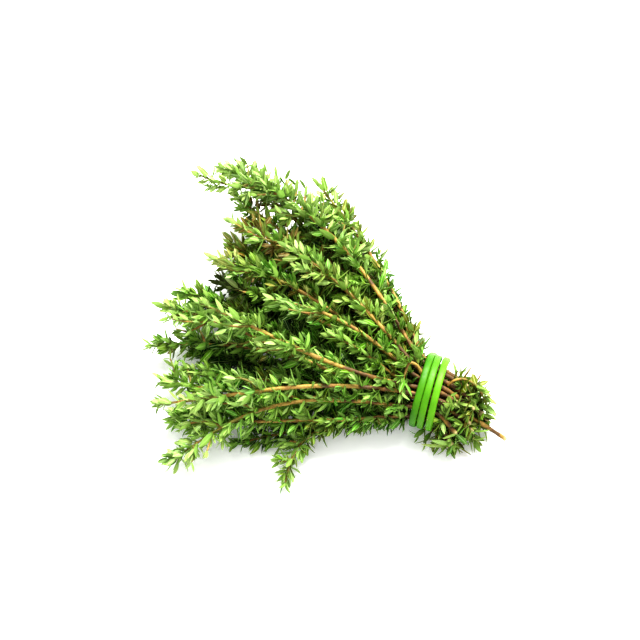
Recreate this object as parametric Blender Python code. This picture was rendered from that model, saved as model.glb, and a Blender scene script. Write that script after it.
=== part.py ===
"""A bunch of fresh thyme, tied near its cut ends with a green rubber band and lying on its side.

Each leafy sprig is one object: a square woody stem with its side shoots and leaves grown from it.
The band is one closed rubber loop wound three times round the stems.
Lengths in the tables are millimetres, and every object is built in metres, +Z up.
The bundle's axis is X: the leafy tips fan out towards -X and the cut ends stick out towards +X.
The surface it lies on is z = 0, and the origin is in the middle of the bundle's footprint.
"""

import math
import random

import bmesh
import bpy
from mathutils import Matrix, Vector
from mathutils.bvhtree import BVHTree

MM = 0.001

# The tied waist, a flattened oval across the axis
WAIST_HALF_WIDTH = 15.6
WAIST_HALF_HEIGHT = 13.2
WAIST_CENTRE_Z = 13.6

# The rubber band: a flat strand, wound side by side, whose last turn crosses back over the others
BAND_TURNS = 3
BAND_WIDTH = 2.8
BAND_FLAT_WIDTH = 2.0
BAND_THICKNESS = 1.6
BAND_PITCH = 3.3
BAND_SPLAY = 0.35
BAND_STEPS_A_TURN = 22
BAND_CROSSING_DEG = -28.0
BAND_CROSSING_SPAN_DEG = 80.0
BAND_CROSSING_LIFT = 2.1
BAND_LIFT_POWER = 6
BAND_SHARP_DEG = 50.0

# Stems
STEM_RADIUS_CUT = 1.05
STEM_RADIUS_TIP = 0.5
STEM_TOLERANCE = 0.3
STEM_TURN = 0.6
LINE_STEP = 2.0
LINE_EASING_ROUNDS = 3
WELD_DISTANCE = 0.01
STRAIGHT_THROUGH_BAND = 6.5
WAIST_FAN_SHARE = 0.25
HANDLE_SHARE = 0.38
TAIL_DROOP = 0.8
TAIL_DROOP_POWER = 1.6
LONGEST_TAIL = 36.0

# Leaves, and where their pairs sit along a stem
LEAF_LENGTH = 8.6
LEAF_WIDTH = 3.3
LEAF_THICKNESS = 0.95
LEAF_WIDEST_AT = 0.5
LEAF_ROOT_DEPTH = 0.15
LEAF_SIZES = (0.88, 1.1)
FIRST_PAIR_FROM_TIP = 0.6
LAST_PAIR_FROM_CUT = 3.0
TIP_PAIRS = 3
TIP_PAIR_SPACING = 3.6
TAIL_PAIR_SPACING = 5.2
SPACING_CHANCE = (0.88, 1.12)
PAIR_TURN_CHANCE = 0.15
BARE_WAIST = 6.0

# How far a leaf leans out from its stem, in degrees: at the tip, further down, and at least
TIP_LEAN = 26.0
GROWN_LEAN = 60.0
LEAN_CHANCE = 8.0
LEAST_LEAN = 14.0

# How a leaf may be bent clear, in order: turned round the stem in degrees, and its lean's share
BENDS = [
    (0, 1.0), (14, 0.9), (-14, 0.9), (0, 0.65), (22, 0.8), (-22, 0.8), (0, 0.4),
    (35, 0.7), (-35, 0.7), (90, 0.9), (-90, 0.9), (90, 0.5), (-90, 0.5), (0, 0.2),
]

# Side shoots
SHOOT_RADIUS = 0.5
SHOOT_TIP_RADIUS = 0.35
SHOOT_LEANS_DEG = (52, 37, 23, 14)
FIRST_SHOOT_FROM_TIP = 24.0
SHOOT_SPACING = 20.0
SHOOT_PLACE_CHANCE = 3.0
SHOOT_TURN_CHANCE = 0.4
SHOOT_PAIR_SPACING = 6.5
# How far round the stem a side shoot may be from facing the middle of the bundle, in degrees
SHOOT_TURNS = (30, -30, 60, -60, 0, 100, -100, 140, -140)

# How much smaller the leaves at a tip are, on a main stem and on a side shoot
STEM_TIP_LEAF = 0.75
SHOOT_TIP_LEAF = 0.65

# Gaps kept between one piece and the next, and above the surface
CLEARANCE = 0.3
TABLE_CLEARANCE = 0.1

# Seeds of the random draws, for how the stems are turned and for what grows on each of them
STEM_SEED = 7
GROWTH_SEED = 100

# Each layer of the bundle, from the top down, and its sprigs in order from +Y to -Y.
# waist: the layer's height through the band. half_width: how far its slots spread in the waist.
# leaf_spacing: the way along a stem from one pair of leaves to the next.
# fan: where the tip lies, in degrees from -X, seen from the waist. reach: how far away it is.
# out, end: the way the stem points as it leaves the band, and at its tip, in degrees from -X.
# crest, tip: the stem's height halfway, and at its tip.
# tail: how far its cut end is past the waist. tail_turn: the way that points, in degrees from +X.
# shoots: the lengths of its side shoots, from the tip down.
LAYERS = {
    "top": {
        "waist": 22.6,
        "half_width": 6.6,
        "leaf_spacing": 9.0,
        "sprigs": [
            {"fan": 33, "reach": 138, "out": 45, "end": 12, "crest": 31, "tip": 24,
             "tail": 14, "tail_turn": -12, "shoots": [30, 14]},
            {"fan": 29, "reach": 86, "out": 31, "end": 24, "crest": 36, "tip": 30,
             "tail": 18, "tail_turn": -12, "shoots": [16]},
            {"fan": 10, "reach": 74, "out": 20, "end": 0, "crest": 39, "tip": 34,
             "tail": 20, "tail_turn": -12, "shoots": [15]},
            {"fan": 3, "reach": 103, "out": -14, "end": 16, "crest": 41, "tip": 28,
             "tail": 13, "tail_turn": -12, "shoots": [16, 14]},
            {"fan": -20, "reach": 113, "out": -12, "end": -10, "crest": 37, "tip": 16,
             "tail": 11, "tail_turn": -12, "shoots": [18, 15]},
        ],
    },
    "upper": {
        "waist": 17.9,
        "half_width": 10.5,
        "leaf_spacing": 9.2,
        "sprigs": [
            {"fan": 48, "reach": 108, "out": 53, "end": 42, "crest": 25, "tip": 22,
             "tail": 15, "tail_turn": -18, "shoots": [17, 13]},
            {"fan": 27, "reach": 117, "out": 33, "end": 12, "crest": 26, "tip": 18,
             "tail": 21, "tail_turn": -15, "shoots": [16, 14]},
            {"fan": 18, "reach": 113, "out": 22, "end": 8, "crest": 28, "tip": 15,
             "tail": 24, "tail_turn": -12, "shoots": [15]},
            {"fan": 6, "reach": 46, "out": 0, "end": 7, "crest": 34, "tip": 31,
             "tail": 15, "tail_turn": -12, "shoots": []},
            {"fan": 2, "reach": 119, "out": -6, "end": 6, "crest": 30, "tip": 20,
             "tail": 20, "tail_turn": -12, "shoots": [17, 14]},
            {"fan": -32, "reach": 112, "out": -14, "end": -48, "crest": 29, "tip": 8,
             "tail": 17, "tail_turn": -32, "shoots": [17, 15]},
        ],
    },
    "middle": {
        "waist": 13.3,
        "half_width": 11.9,
        "leaf_spacing": 11.4,
        "sprigs": [
            {"fan": 42, "reach": 104, "out": 51, "end": 34, "crest": 19, "tip": 14,
             "tail": 16, "tail_turn": -20, "shoots": [15]},
            {"fan": 32, "reach": 126, "out": 38, "end": 26, "crest": 20, "tip": 17,
             "tail": 23, "tail_turn": -12, "shoots": [17, 14]},
            {"fan": 14, "reach": 106, "out": 18, "end": 6, "crest": 21, "tip": 13,
             "tail": 27, "tail_turn": -12, "shoots": [15]},
            {"fan": -5, "reach": 121, "out": -2, "end": -14, "crest": 21, "tip": 9,
             "tail": 36, "tail_turn": -9, "shoots": [16, 14]},
            {"fan": -13, "reach": 113, "out": -13, "end": 2, "crest": 19, "tip": 10,
             "tail": 22, "tail_turn": -12, "shoots": [15]},
            {"fan": -25, "reach": 104, "out": -26, "end": -20, "crest": 18, "tip": 11,
             "tail": 18, "tail_turn": -44, "shoots": [16, 15]},
        ],
    },
    "lower": {
        "waist": 8.7,
        "half_width": 10.6,
        "leaf_spacing": 12.0,
        "sprigs": [
            {"fan": 47, "reach": 88, "out": 50, "end": 38, "crest": 12, "tip": 9,
             "tail": 18, "tail_turn": -14, "shoots": [14]},
            {"fan": 24, "reach": 112, "out": 28, "end": 16, "crest": 13, "tip": 9,
             "tail": 24, "tail_turn": -12, "shoots": [16]},
            {"fan": 9, "reach": 116, "out": 8, "end": 10, "crest": 13, "tip": 10,
             "tail": 22, "tail_turn": -12, "shoots": [16, 13]},
            {"fan": -21, "reach": 108, "out": -19, "end": -18, "crest": 13, "tip": 7,
             "tail": 24, "tail_turn": -24, "shoots": [16]},
            {"fan": -48, "reach": 71, "out": -26, "end": -100, "crest": 11, "tip": 3.6,
             "tail": 18, "tail_turn": -52, "shoots": [13]},
        ],
    },
    "bottom": {
        "waist": 4.2,
        "half_width": 6.2,
        "leaf_spacing": 12.0,
        "sprigs": [
            {"fan": 36, "reach": 98, "out": 38, "end": 26, "crest": 5, "tip": 4,
             "tail": 18, "tail_turn": -12, "shoots": [14]},
            {"fan": 16, "reach": 98, "out": 18, "end": 10, "crest": 5, "tip": 4,
             "tail": 22, "tail_turn": -12, "shoots": [14]},
            {"fan": -2, "reach": 104, "out": -4, "end": 2, "crest": 5, "tip": 4,
             "tail": 20, "tail_turn": -24, "shoots": [14]},
            {"fan": -30, "reach": 84, "out": -27, "end": -30, "crest": 5, "tip": 4,
             "tail": 18, "tail_turn": -46, "shoots": [14]},
        ],
    },
}


def material(name, colour, roughness):
    made = bpy.data.materials.new(name)
    made.use_nodes = True
    shader = made.node_tree.nodes["Principled BSDF"]
    shader.inputs["Base Color"].default_value = (*colour, 1.0)
    shader.inputs["Roughness"].default_value = roughness
    shader.inputs["Metallic"].default_value = 0.0
    return made


def plan_direction(degrees):
    """The level unit vector that points this many degrees from -X towards +Y."""
    angle = math.radians(degrees)
    return Vector((-math.cos(angle), math.sin(angle), 0.0))


def bezier(a, b, c, d, share):
    rest = 1 - share
    return a * rest**3 + b * 3 * rest**2 * share + c * 3 * rest * share**2 + d * share**3


def evenly_spaced(points, step):
    """The same line with its points a step apart, or a little less."""
    lengths = [0.0]
    for before, after in zip(points, points[1:]):
        lengths.append(lengths[-1] + (after - before).length)
    count = max(2, math.ceil(lengths[-1] / step))
    spaced, at = [points[0]], 0
    for index in range(1, count):
        wanted = lengths[-1] * index / count
        while lengths[at + 1] < wanted:
            at += 1
        share = (wanted - lengths[at]) / (lengths[at + 1] - lengths[at])
        spaced.append(points[at].lerp(points[at + 1], share))
    return spaced + [points[-1]]


def relaxed(points, rounds):
    """The line with its corners eased, its ends left where they are."""
    for _ in range(rounds):
        inner = [(a + b * 2 + c) / 4 for a, b, c in zip(points, points[1:], points[2:])]
        points = [points[0], *inner, points[-1]]
    return points


def simplified(points, tolerance):
    """The line with only the points that its shape needs."""
    start, end = points[0], points[-1]
    chord = (end - start).normalized()
    offsets = [(point - start) - chord * chord.dot(point - start) for point in points]
    worst = max(range(len(points)), key=lambda index: offsets[index].length)
    if offsets[worst].length < tolerance:
        return [start, end]
    return simplified(points[:worst + 1], tolerance)[:-1] + simplified(points[worst:], tolerance)


def tail_point(slot, sprig, past):
    """The stem's centre line this far past the waist on its cut side."""
    straight = min(past, STRAIGHT_THROUGH_BAND)
    point = slot - plan_direction(sprig["out"] * WAIST_FAN_SHARE) * straight
    point -= plan_direction(-sprig["tail_turn"]) * (past - straight)
    droop = TAIL_DROOP * (past / LONGEST_TAIL) ** TAIL_DROOP_POWER
    point.z = max(slot.z * (1 - droop), STEM_RADIUS_CUT + TABLE_CLEARANCE)
    return point


def stem_line(sprig, slot):
    """The stem's centre line in millimetres, from its cut end through its slot in the waist to its tip."""
    crest, reach, tail = sprig["crest"], sprig["reach"], sprig["tail"]
    leaves_band = slot + plan_direction(sprig["out"] * WAIST_FAN_SHARE) * STRAIGHT_THROUGH_BAND
    tip = plan_direction(sprig["fan"]) * reach
    tip.z = sprig["tip"]
    first = leaves_band + plan_direction(sprig["out"]) * (HANDLE_SHARE * reach)
    first.z = (crest * 2 + slot.z) / 3
    second = tip - plan_direction(sprig["end"]) * (HANDLE_SHARE * reach)
    second.z = crest
    line = [tail_point(slot, sprig, tail * (1 - i / 10)) for i in range(11)]
    line += [bezier(leaves_band, first, second, tip, i / 40) for i in range(41)]
    return simplified(relaxed(evenly_spaced(line, LINE_STEP), LINE_EASING_ROUNDS), STEM_TOLERANCE)


class Stem:
    """A centre line that can be asked for the point, heading and thickness at any distance from its tip."""

    def __init__(self, line, radius_root, radius_tip, turned=0.0):
        self.line = [p * MM for p in reversed(line)]
        self.radii = (radius_tip * MM, radius_root * MM)
        self.turned = turned
        spans = [near - far for near, far in zip(self.line, self.line[1:])]
        headings = [span.normalized() for span in spans]
        between = [(a + b).normalized() for a, b in zip(headings, headings[1:])]
        self.headings = [headings[0], *between, headings[-1]]
        self.lengths = [0.0]
        for span in spans:
            self.lengths.append(self.lengths[-1] + span.length)
        self.length = self.lengths[-1]

    def at(self, distance):
        """The point, the heading towards the tip, and the radius, this far from the tip."""
        distance = min(max(distance, 0.0), self.length)
        index = 0
        while index < len(self.line) - 2 and self.lengths[index + 1] < distance:
            index += 1
        share = (distance - self.lengths[index]) / (self.lengths[index + 1] - self.lengths[index])
        point = self.line[index].lerp(self.line[index + 1], share)
        heading = self.headings[index].lerp(self.headings[index + 1], share).normalized()
        radius = self.radii[0] + (self.radii[1] - self.radii[0]) * distance / self.length
        return point, heading, radius

    def side(self, distance, azimuth):
        """The unit vector out of the stem, this far round it from one of its corners."""
        _, heading, _ = self.at(distance)
        level = heading.cross(Vector((0, 0, 1))).normalized()
        upward = level.cross(heading).normalized()
        angle = azimuth + self.turned
        return upward * math.cos(angle) + level * math.sin(angle)


def stem_cage(stem):
    """A tapering tube with four sides on the stem's line, as a closed bmesh."""
    curve = bpy.data.curves.new("stem_line", "CURVE")
    curve.dimensions = "3D"
    curve.twist_mode = "Z_UP"
    curve.bevel_depth = 1.0
    curve.bevel_resolution = 0
    curve.use_fill_caps = True
    spline = curve.splines.new("POLY")
    spline.points.add(len(stem.lengths) - 1)
    for point, distance in zip(spline.points, stem.lengths):
        place, _, radius = stem.at(distance)
        point.co = (*place, 1.0)
        point.radius = radius
        point.tilt = -stem.turned
    drawn = bpy.data.objects.new("stem_line", curve)
    bpy.context.scene.collection.objects.link(drawn)
    graph = bpy.context.evaluated_depsgraph_get()
    mesh = bpy.data.meshes.new_from_object(drawn.evaluated_get(graph))
    bpy.data.objects.remove(drawn)
    bpy.data.curves.remove(curve)
    cage = bmesh.new()
    cage.from_mesh(mesh)
    bpy.data.meshes.remove(mesh)
    bmesh.ops.remove_doubles(cage, verts=cage.verts, dist=WELD_DISTANCE * MM)
    bmesh.ops.recalc_face_normals(cage, faces=cage.faces)
    return cage


def leaf_corners(root, direction, face_up, length, width, thickness):
    """A pointed blade's four corners: the ends of its raised midrib, and of its widest line below that."""
    across = direction.cross(face_up).normalized()
    keel = across.cross(direction).normalized()
    widest = root + direction * (length * LEAF_WIDEST_AT) - keel * thickness
    half = across * (width / 2)
    return [root, root + direction * length, widest + half, widest - half]


def hull(points):
    """The smallest closed bmesh round these points."""
    cage = bmesh.new()
    bmesh.ops.convex_hull(cage, input=[cage.verts.new(point) for point in points])
    bmesh.ops.recalc_face_normals(cage, faces=cage.faces)
    return cage


def room_round(points):
    """The hull of the points with a clearance on every side."""
    gap = CLEARANCE * MM
    steps = [Vector(step) * sign for step in ((gap, 0, 0), (0, gap, 0), (0, 0, gap)) for sign in (1, -1)]
    return hull([point + step for point in points for step in steps])


def tree_of(obj):
    """A search tree over the object's faces, to find what meets them."""
    points = [v.co for v in obj.data.vertices]
    return BVHTree.FromPolygons(points, [list(face.vertices) for face in obj.data.polygons])


def is_clear(room, obstacles):
    """True if the room, a bmesh that is used up here, meets none of the obstacles."""
    tree = BVHTree.FromBMesh(room)
    room.free()
    return not any(tree.overlap(other) for other in obstacles)


def grow_leaf(stem, distance, azimuth, lean, size, obstacles):
    """A leaf bent clear of the obstacles, as a bmesh, or None where it has no room."""
    point, along, _ = stem.at(distance)
    length, width = LEAF_LENGTH * MM * size, LEAF_WIDTH * MM * size**0.5
    for turn, lean_share in BENDS:
        outward = stem.side(distance, azimuth + math.radians(turn))
        angle = math.radians(max(lean * lean_share, LEAST_LEAN))
        direction = along * math.cos(angle) + outward * math.sin(angle)
        face_up = along * math.sin(angle) - outward * math.cos(angle)
        root = point - direction * (LEAF_ROOT_DEPTH * MM)
        corners = leaf_corners(root, direction, face_up, length, width, LEAF_THICKNESS * MM)
        above_surface = min(corner.z for corner in corners) > TABLE_CLEARANCE * MM
        if above_surface and is_clear(room_round(corners), obstacles):
            return hull(corners)
    return None


def pair_places(stem, dice, spacing):
    """How far from the tip each pair of leaves sits: close together at the tip, then spaced out."""
    distance, places = FIRST_PAIR_FROM_TIP * MM, []
    while distance < stem.length - LAST_PAIR_FROM_CUT * MM:
        places.append(distance)
        crowding = min(len(places) / TIP_PAIRS, 1.0)
        step = TIP_PAIR_SPACING + (spacing - TIP_PAIR_SPACING) * crowding**2
        if stem.at(distance)[0].x > BARE_WAIST * MM:
            step = TAIL_PAIR_SPACING
        distance += step * MM * dice.uniform(*SPACING_CHANCE)
    return places


def grow_leaves(stem, dice, spacing, tip_size, obstacles):
    """Leaves in opposite pairs, each pair a quarter turn round from the last, none within the waist."""
    grown = []
    for index, distance in enumerate(pair_places(stem, dice, spacing)):
        azimuth = math.pi * (0.25 + 0.5 * index) + dice.uniform(-PAIR_TURN_CHANCE, PAIR_TURN_CHANCE)
        age = min(index / TIP_PAIRS, 1.0)
        size = (tip_size + (1 - tip_size) * age) * dice.uniform(*LEAF_SIZES)
        lean = TIP_LEAN + (GROWN_LEAN - TIP_LEAN) * age + dice.uniform(-LEAN_CHANCE, LEAN_CHANCE)
        if abs(stem.at(distance)[0].x) < BARE_WAIST * MM:
            continue
        for half_turn in (0, math.pi):
            leaf = grow_leaf(stem, distance, azimuth + half_turn, lean, size, obstacles)
            if leaf:
                grown.append(leaf)
    return grown


def shoot_line(stem, distance, azimuth, length):
    """A side shoot that leaves the stem at a slant and bends round to run beside it, in millimetres."""
    point, along, _ = stem.at(distance)
    outward = stem.side(distance, azimuth)
    line = [point / MM]
    for lean in SHOOT_LEANS_DEG:
        angle = math.radians(lean)
        direction = along * math.cos(angle) + outward * math.sin(angle)
        line.append(line[-1] + direction * (length / len(SHOOT_LEANS_DEG)))
    return line


def grow_shoots(stem, sprig, dice, obstacles):
    """The sprig's side shoots that have room."""
    grown = []
    for index, length in enumerate(sprig["shoots"]):
        place = FIRST_SHOOT_FROM_TIP + SHOOT_SPACING * index
        distance = (place + dice.uniform(-SHOOT_PLACE_CHANCE, SHOOT_PLACE_CHANCE)) * MM
        inward = math.copysign(math.pi / 2, -sprig["fan"]) - stem.turned
        for turn in SHOOT_TURNS:
            azimuth = inward + math.radians(turn) * (-1) ** index
            azimuth += dice.uniform(-SHOOT_TURN_CHANCE, SHOOT_TURN_CHANCE)
            line = shoot_line(stem, distance, azimuth, length)
            above_surface = min(point.z for point in line) > SHOOT_RADIUS + TABLE_CLEARANCE
            room = Stem(line, SHOOT_RADIUS + CLEARANCE, SHOOT_TIP_RADIUS + CLEARANCE)
            if above_surface and is_clear(stem_cage(room), obstacles):
                grown.append(Stem(line, SHOOT_RADIUS, SHOOT_TIP_RADIUS))
                break
    return grown


def mesh_object(name, cage, into):
    mesh = bpy.data.meshes.new(name)
    cage.to_mesh(mesh)
    cage.free()
    made = bpy.data.objects.new(name, mesh)
    into.objects.link(made)
    return made


def fuse(stem_object, grown):
    """Joins the leaves and side shoots to the stem with one Boolean union."""
    joiner = stem_object.modifiers.new("grown together", "BOOLEAN")
    joiner.operation = "UNION"
    joiner.operand_type = "COLLECTION"
    joiner.collection = grown
    joiner.solver = "EXACT"
    graph = bpy.context.evaluated_depsgraph_get()
    mesh = bpy.data.meshes.new_from_object(stem_object.evaluated_get(graph))
    stem_object.modifiers.clear()
    stem_object.data = mesh
    for obj in list(grown.objects):
        bpy.data.objects.remove(obj)


def smooth_step(share):
    return share * share * (3 - 2 * share)


def band_point(turn, degrees):
    """The middle of the strand, on this turn of the band, this far round from +Y, in millimetres."""
    from_crossing = (degrees - BAND_CROSSING_DEG + 180) % 360 - 180
    shift = min(max(from_crossing / BAND_CROSSING_SPAN_DEG + 0.5, 0.0), 1.0)
    last = turn == BAND_TURNS - 1
    here, there = turn, 0 if last else turn + 1
    place = here + (there - here) * smooth_step(shift)
    lift = BAND_CROSSING_LIFT * (1 - (2 * shift - 1) ** BAND_LIFT_POWER) if last else 0.0
    angle = math.radians(degrees)
    splay = 1 + BAND_SPLAY * max(0.0, -math.cos(angle)) ** 2
    middle = (BAND_TURNS - 1) / 2
    return Vector((
        (place - middle) * BAND_PITCH * splay,
        math.cos(angle) * (WAIST_HALF_WIDTH + lift),
        max(WAIST_CENTRE_Z + math.sin(angle) * (WAIST_HALF_HEIGHT + lift), BAND_THICKNESS / 2),
    ))


def closed_curve(name, points):
    """A closed curve through the points, which are in millimetres, as an object in the scene."""
    curve = bpy.data.curves.new(name, "CURVE")
    curve.dimensions = "3D"
    spline = curve.splines.new("POLY")
    spline.points.add(len(points) - 1)
    for point, place in zip(spline.points, points):
        point.co = (*(place * MM), 1.0)
    spline.use_cyclic_u = True
    drawn = bpy.data.objects.new(name, curve)
    bpy.context.scene.collection.objects.link(drawn)
    return drawn


def build_band(finish):
    """One loop of flat rubber wound three times round the waist, pressed flat where it meets the surface.

    It is drawn round the Z axis, where a curve's Z-up twist keeps its flat section level, and the
    mesh is then laid over on to the bundle's X axis.
    """
    lay_over = Matrix.Rotation(math.radians(90), 4, "Y")
    start, step = BAND_CROSSING_DEG + 180, 360 / BAND_STEPS_A_TURN
    route = []
    for turn in range(BAND_TURNS):
        route += [band_point(turn, start + step * index) for index in range(BAND_STEPS_A_TURN)]
    edge, flat, face = BAND_WIDTH / 2, BAND_FLAT_WIDTH / 2, BAND_THICKNESS / 2
    outline = [(0, edge), (face, flat), (face, -flat), (0, -edge), (-face, -flat), (-face, flat)]
    section = closed_curve("band_section", [Vector((x, y, 0)) for x, y in outline])
    path = closed_curve("band_path", [lay_over.inverted() @ point for point in route])
    path.data.twist_mode = "Z_UP"
    path.data.bevel_mode = "OBJECT"
    path.data.bevel_object = section
    graph = bpy.context.evaluated_depsgraph_get()
    mesh = bpy.data.meshes.new_from_object(path.evaluated_get(graph))
    mesh.name = "rubber_band"
    mesh.transform(lay_over)
    mesh.shade_smooth()
    mesh.set_sharp_from_angle(angle=math.radians(BAND_SHARP_DEG))
    mesh.materials.append(finish)
    band = bpy.data.objects.new("rubber_band", mesh)
    bpy.context.scene.collection.objects.link(band)
    for drawn in (section, path):
        curve = drawn.data
        bpy.data.objects.remove(drawn)
        bpy.data.curves.remove(curve)
    return band


def slots(layer):
    """Where the layer's sprigs pass through the waist, from +Y to -Y."""
    count = len(layer["sprigs"])
    for index in range(count):
        y = layer["half_width"] * (1 - 2 * index / (count - 1))
        yield Vector((0, y, layer["waist"]))


def plan_stems():
    """Each sprig's main stem and its row of the table, by the name of its object."""
    planned, dice = {}, random.Random(STEM_SEED)
    for layer_name, layer in LAYERS.items():
        for index, (slot, sprig) in enumerate(zip(slots(layer), layer["sprigs"])):
            turned = dice.uniform(-STEM_TURN, STEM_TURN)
            stem = Stem(stem_line(sprig, slot), STEM_RADIUS_CUT, STEM_RADIUS_TIP, turned)
            planned[f"sprig_{layer_name}_{index + 1}"] = (stem, sprig, layer["leaf_spacing"])
    return planned


def build_sprig(name, stem, sprig, leaf_spacing, dice, obstacles):
    """One sprig: its stem, with its side shoots and all their leaves joined to it."""
    shoots = grow_shoots(stem, sprig, dice, obstacles)
    cages = [stem_cage(shoot) for shoot in shoots]
    cages += grow_leaves(stem, dice, leaf_spacing, STEM_TIP_LEAF, obstacles)
    for shoot in shoots:
        cages += grow_leaves(shoot, dice, SHOOT_PAIR_SPACING, SHOOT_TIP_LEAF, obstacles)
    sprig_object = mesh_object(name, stem_cage(stem), bpy.context.scene.collection)
    grown = bpy.data.collections.new(name + "_growth")
    bpy.context.scene.collection.children.link(grown)
    for index, cage in enumerate(cages):
        mesh_object(f"{name}_growth_{index + 1}", cage, grown)
    fuse(sprig_object, grown)
    bpy.data.collections.remove(grown)
    return sprig_object


def build_sprigs(band, finish):
    """All the sprigs from the top layer down, each one clear of the band and of every other sprig."""
    planned = plan_stems()
    bare = {name: BVHTree.FromBMesh(stem_cage(stem)) for name, (stem, _, _) in planned.items()}
    finished = {"rubber_band": tree_of(band)}
    sprigs = []
    for number, (name, (stem, sprig, leaf_spacing)) in enumerate(planned.items()):
        del bare[name]
        obstacles = [*finished.values(), *bare.values()]
        dice = random.Random(GROWTH_SEED + number)
        made = build_sprig(name, stem, sprig, leaf_spacing, dice, obstacles)
        made.data.materials.append(finish)
        finished[name] = tree_of(made)
        sprigs.append(made)
    return sprigs


def gather(pieces):
    """Puts the pieces in the bundle's collection, on an empty that centres them on the origin."""
    bundle = bpy.data.collections.new("thyme_bundle")
    bpy.context.scene.collection.children.link(bundle)
    points = [v.co for obj in pieces for v in obj.data.vertices]
    centre = [(min(p[axis] for p in points) + max(p[axis] for p in points)) / 2 for axis in (0, 1)]
    waist = bpy.data.objects.new("waist", None)
    waist.location = (-centre[0], -centre[1], 0.0)
    bundle.objects.link(waist)
    for obj in pieces:
        bpy.context.scene.collection.objects.unlink(obj)
        bundle.objects.link(obj)
        obj.parent = waist


def build_bundle():
    for obj in list(bpy.data.objects):
        bpy.data.objects.remove(obj)
    leaf_green = material("thyme_leaf", (0.13, 0.30, 0.05), 0.55)
    rubber_green = material("green_rubber", (0.22, 0.62, 0.04), 0.35)
    band = build_band(rubber_green)
    gather([band, *build_sprigs(band, leaf_green)])


build_bundle()
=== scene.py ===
# %% [markdown]
# # A bunch of fresh thyme, tied with a rubber band
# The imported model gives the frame: one solid for each sprig, and one for the band. Here each of
# them gets its real surface: bark, veined leaves, the small tufts in the leaf axils, and soft
# rubber. Everything is in metres, the bunch lies on z = 0, and its leafy tips point towards -X.
# Numbers that describe a shape are in millimetres, and MM turns them into metres.

# %% Load the frame
import math
import random

import bpy
from mathutils import Matrix, Vector


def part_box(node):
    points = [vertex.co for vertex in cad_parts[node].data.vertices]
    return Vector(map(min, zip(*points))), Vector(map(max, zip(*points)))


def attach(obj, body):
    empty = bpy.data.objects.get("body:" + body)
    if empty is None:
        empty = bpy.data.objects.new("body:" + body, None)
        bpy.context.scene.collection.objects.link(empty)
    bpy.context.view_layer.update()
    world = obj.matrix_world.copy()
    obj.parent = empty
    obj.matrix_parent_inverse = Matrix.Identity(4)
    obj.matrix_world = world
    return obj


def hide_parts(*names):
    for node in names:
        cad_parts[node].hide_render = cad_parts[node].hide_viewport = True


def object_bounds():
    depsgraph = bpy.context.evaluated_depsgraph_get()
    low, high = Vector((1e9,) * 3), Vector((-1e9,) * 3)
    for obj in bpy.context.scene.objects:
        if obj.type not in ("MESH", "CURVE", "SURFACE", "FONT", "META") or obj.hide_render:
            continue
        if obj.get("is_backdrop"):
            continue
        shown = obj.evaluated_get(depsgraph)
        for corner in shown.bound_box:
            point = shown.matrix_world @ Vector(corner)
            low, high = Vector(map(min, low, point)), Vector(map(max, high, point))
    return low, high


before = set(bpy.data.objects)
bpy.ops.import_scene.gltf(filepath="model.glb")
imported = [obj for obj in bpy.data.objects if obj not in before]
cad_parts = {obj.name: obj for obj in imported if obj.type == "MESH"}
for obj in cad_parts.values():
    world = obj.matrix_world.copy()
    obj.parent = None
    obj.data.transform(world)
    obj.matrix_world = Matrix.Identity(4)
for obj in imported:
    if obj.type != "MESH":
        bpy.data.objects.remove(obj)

MM = 0.001
CAD_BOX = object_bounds()
print("the frame holds", len(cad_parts), "solids")

# %% [markdown]
# ## Where the band is
# The band marks the waist of the bunch, and every stem is laid out from there. Its box gives the
# place: the turns lie evenly to both sides of the waist along X, and the band's flat strand is half
# its thickness outside the waist's oval on the -Y side.

# %% The waist
WAIST_HALF_WIDTH = 15.6
WAIST_HALF_HEIGHT = 13.2
WAIST_CENTRE_Z = 13.6
BAND_THICKNESS = 1.6

band_low, band_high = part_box("rubber_band")
WAIST = Vector((
    (band_low.x + band_high.x) / 2,
    band_low.y + (WAIST_HALF_WIDTH + BAND_THICKNESS / 2) * MM,
    0.0,
))
print("the waist is at", [round(value / MM, 2) for value in WAIST], "mm")

# %% [markdown]
# ## Camera
# A long lens from high on the bunch's right-hand side. It aims at a point on the sprigs, off to the
# leafy side of the waist. The lamp will face the same point later, so both use one helper.

# %% Camera
CAMERA_AZIMUTH = 16.6
CAMERA_ELEVATION = 62.0
CAMERA_DISTANCE = 0.6498
CAMERA_LENS = 85.0
AIM = WAIST + Vector((-53.86, 18.89, 15.0)) * MM


def new_object(name, data):
    """A new object with this data, in the scene."""
    made = bpy.data.objects.new(name, data)
    bpy.context.scene.collection.objects.link(made)
    return made


def face_the_bunch(obj, azimuth, elevation, distance):
    """Puts a camera or lamp at this azimuth and elevation, in degrees, turned to the bunch."""
    a, e = math.radians(azimuth), math.radians(elevation)
    away = Vector((math.sin(a) * math.cos(e), -math.cos(a) * math.cos(e), math.sin(e)))
    obj.location = AIM + away * distance
    obj.rotation_mode = "QUATERNION"
    obj.rotation_quaternion = (-away).to_track_quat("-Z", "Y")


camera = new_object("camera", bpy.data.cameras.new("camera"))
camera.data.lens = CAMERA_LENS
face_the_bunch(camera, CAMERA_AZIMUTH, CAMERA_ELEVATION, CAMERA_DISTANCE)
bpy.context.scene.camera = camera
print("the camera is", round(camera.location.z, 3), "m above the table")

# %% [markdown]
# ## The stems' lines
# Each row says where one stem goes: where its tip lies and how it gets there, seen from the waist.
# These are the lines that the solids follow, so the fine pieces stay inside the same form.

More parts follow.
